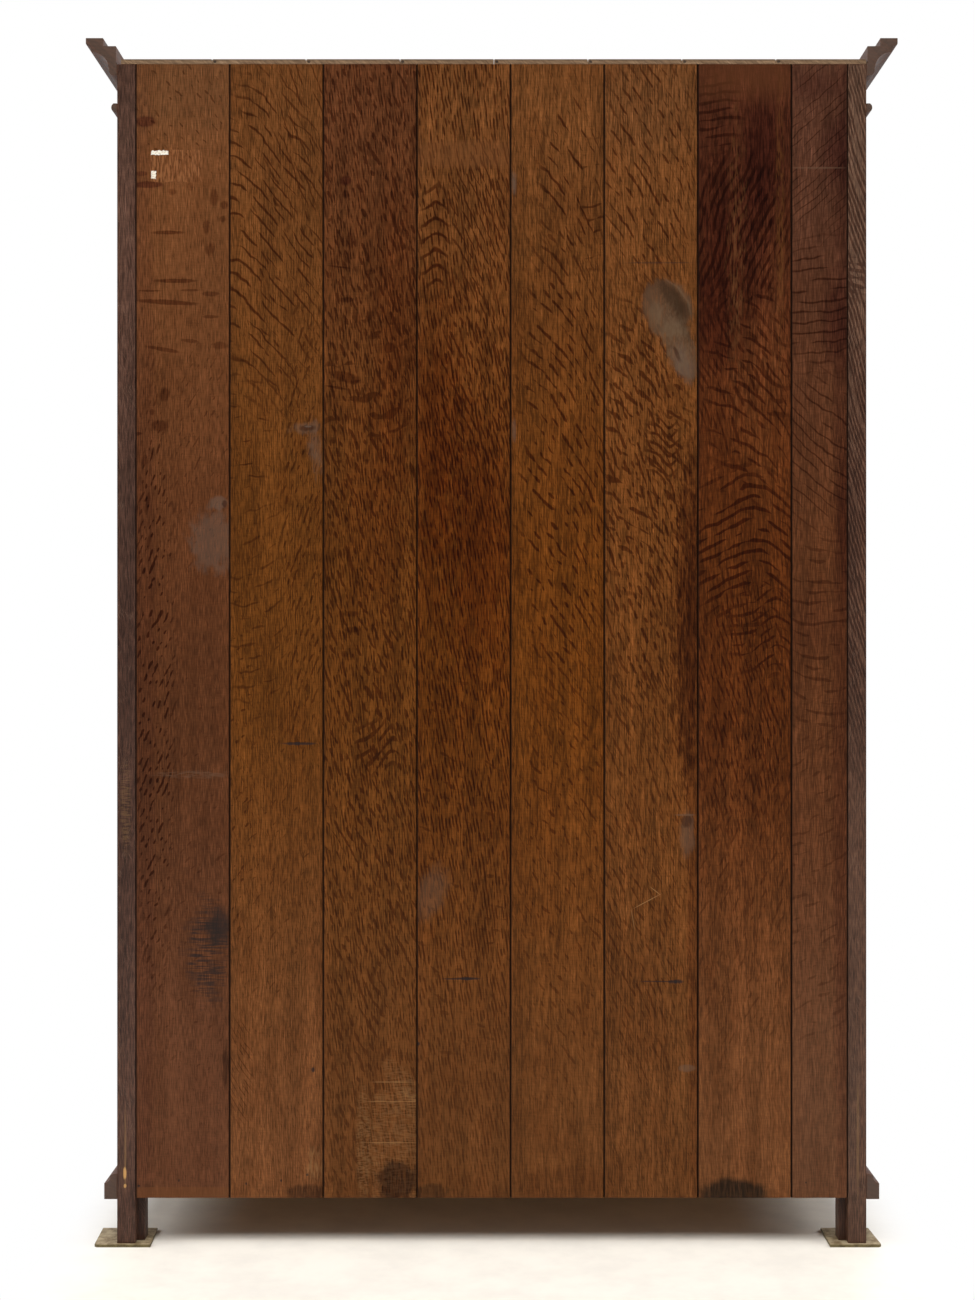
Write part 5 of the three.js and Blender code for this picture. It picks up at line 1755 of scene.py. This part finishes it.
@dataclass
class Escutcheons:
    """Oval brass plates round the keys, on the face of the doors. Lengths are in metres."""

    key_x: float = 0.057
    key_z: float = 1.0
    hole: float = 0.0062
    width: float = 0.011
    height: float = 0.019
    thickness: float = 0.0014
    bevels: tuple[float, float] = (0.2, 0.12)
    steps: int = 48

    def build(self) -> None:
        """Makes one on each door."""
        for side, way in SIDES.items():
            low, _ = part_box(f"door_frame_{side}")
            add = bpy.ops.mesh.primitive_circle_add
            plate = new_shape(f"escutcheon_{side}", add, vertices=self.steps, radius=1, fill_type="NGON")
            with editing(plate):
                bpy.ops.mesh.select_all(action="SELECT")
                bpy.ops.transform.resize(value=(self.width, self.height, 1))
                for share in self.bevels:
                    bpy.ops.mesh.inset(thickness=self.width * share, depth=self.thickness * 0.5)
                bpy.ops.mesh.extrude_region_move()
                mesh = bmesh.from_edit_mesh(plate.data)
                for vertex in filter(lambda vertex: vertex.select, mesh.verts):
                    flat = Vector((vertex.co.x, vertex.co.y, 0)).normalized() * self.hole
                    vertex.co = (flat.x, flat.y, vertex.co.z)
                bmesh.update_edit_mesh(plate.data)
                bpy.ops.mesh.extrude_region_move(TRANSFORM_OT_translate={"value": (0, 0, -self.thickness)})
                bpy.ops.mesh.delete(type="FACE")
            stand = Matrix.Translation((way * self.key_x, low.y, self.key_z)) @ Matrix.Rotation(math.pi / 2, 4, "X")
            plate.data.transform(stand)
            smooth_faces(plate)
            settle(plate, f"door_{side}", BRASS.material(BRASS.slot))
        log.info("escutcheons fitted")


@dataclass
class PaperScraps:
    """What is left of a pasted paper on the board at the right post. Lengths are in metres."""

    thickness: float = 0.0002
    back: float = 0.293
    tear: float = 0.0009
    calm: float = 0.2
    places: tuple[tuple[float, float, float, float], ...] = (
        (0.5496, 1.8098, 0.0285, 0.0072),
        (0.5596, 1.7734, 0.0075, 0.0125),
    )

    def build(self) -> None:
        """Tears the scraps and sticks them on."""
        chance = random.Random(5)
        paper = self.paper()
        for index, (x, z, width, height) in enumerate(self.places):
            add = bpy.ops.mesh.primitive_grid_add
            scrap = new_shape(f"paper_scrap_{index + 1}", add, x_subdivisions=16, y_subdivisions=10, size=1)
            with editing(scrap) as mesh:
                for vertex in mesh.verts:
                    jitter = self.tear * (1 if vertex.is_boundary else self.calm)
                    vertex.co.x = vertex.co.x * width + chance.uniform(-jitter, jitter)
                    vertex.co.y = vertex.co.y * height + chance.uniform(-jitter, jitter)
                    vertex.co.z = chance.uniform(0.0, self.thickness)
                bmesh.update_edit_mesh(scrap.data)
                bpy.ops.mesh.select_all(action="SELECT")
                bpy.ops.mesh.extrude_region_move(TRANSFORM_OT_translate={"value": (0, 0, self.thickness)})
                bpy.ops.mesh.select_all(action="SELECT")
                bpy.ops.mesh.normals_make_consistent(inside=False)
            turn = Matrix.Rotation(-math.pi / 2, 4, "X")
            scrap.data.transform(Matrix.Translation((x, self.back + self.thickness, z)) @ turn)
            settle(scrap, CASE, paper)
        log.info("paper scraps stuck on")

    def paper(self) -> bpy.types.Material:
        """Rag paper, a little dirty."""
        made, g = new_material("paper")
        spots = g.smooth(g.noise(g.node("TexCoord").outputs["Object"], 4, 300), 0.45, 0.7)
        g.surface(Base_Color=g.mix(spots, PAPER, PAPER_DIRT), Roughness=0.8)
        return made


@dataclass
class Feet:
    """The pads of worn hardboard under the feet, rounded by a softening in metres."""

    softening: float = 0.0008
    top_tones: tuple[Colour, Colour] = (linear(128, 108, 78), linear(186, 168, 136))
    edge_tones: tuple[Colour, Colour] = (linear(70, 60, 36), linear(116, 104, 70))
    fibre_tone: Colour = linear(60, 48, 32)

    def build(self) -> None:
        """Dresses the four pads."""
        material = self.hardboard()
        for side in SIDES:
            for end in ("rear", "front"):
                piece = cad(f"foot_pad_{end}_{side}")
                dress(piece, material)
                soften(piece, self.softening)
        log.info("pads dressed")

    def hardboard(self) -> bpy.types.Material:
        """Mottled brown board with an olive edge and scuffed top."""
        made, g = new_material("hardboard")
        coordinates = g.node("TexCoord")
        place = coordinates.outputs["Object"]
        _, _, up = g.split(coordinates.outputs["Normal"])
        mottle = g.noise(place, 5, 70, 0.65)
        fibres = g.noise(place, 3, 600)
        top = g.mix(g.smooth(mottle, 0.35, 0.65), *self.top_tones)
        edge = g.mix(g.smooth(mottle, 0.3, 0.6), *self.edge_tones)
        colour = g.mix(g.smooth(g.math("ABSOLUTE", up), 0.5, 0.9), edge, top)
        colour = g.mix(g.times(fibres, 0.3), colour, self.fibre_tone)
        normal = g.bump(fibres, 0.5, 0.6 * MILLIMETRE)
        g.surface(Base_Color=colour, Roughness=0.6, Specular_IOR_Level=0.3, Normal=normal)
        return made


def main() -> None:
    """Builds the studio and every sub-assembly in order."""
    logging.basicConfig(level=logging.INFO, format="%(name)s: %(message)s")
    Studio().build()
    BackBoards().build()
    Carcass().build()
    BoardedSurface("roof_boards", "roof_board", ROOF_OAK, ROOF_JOINTS, round_over=0.0024).build()
    BoardedSurface("floor_boards", "floor_board", RAW_OAK, FLOOR_JOINTS, seed=250.0).build()
    Mouldings().build()
    Doors().build()
    Screws().build()
    Escutcheons().build()
    PaperScraps().build()
    Feet().build()


if __name__ == "__main__":
    main()
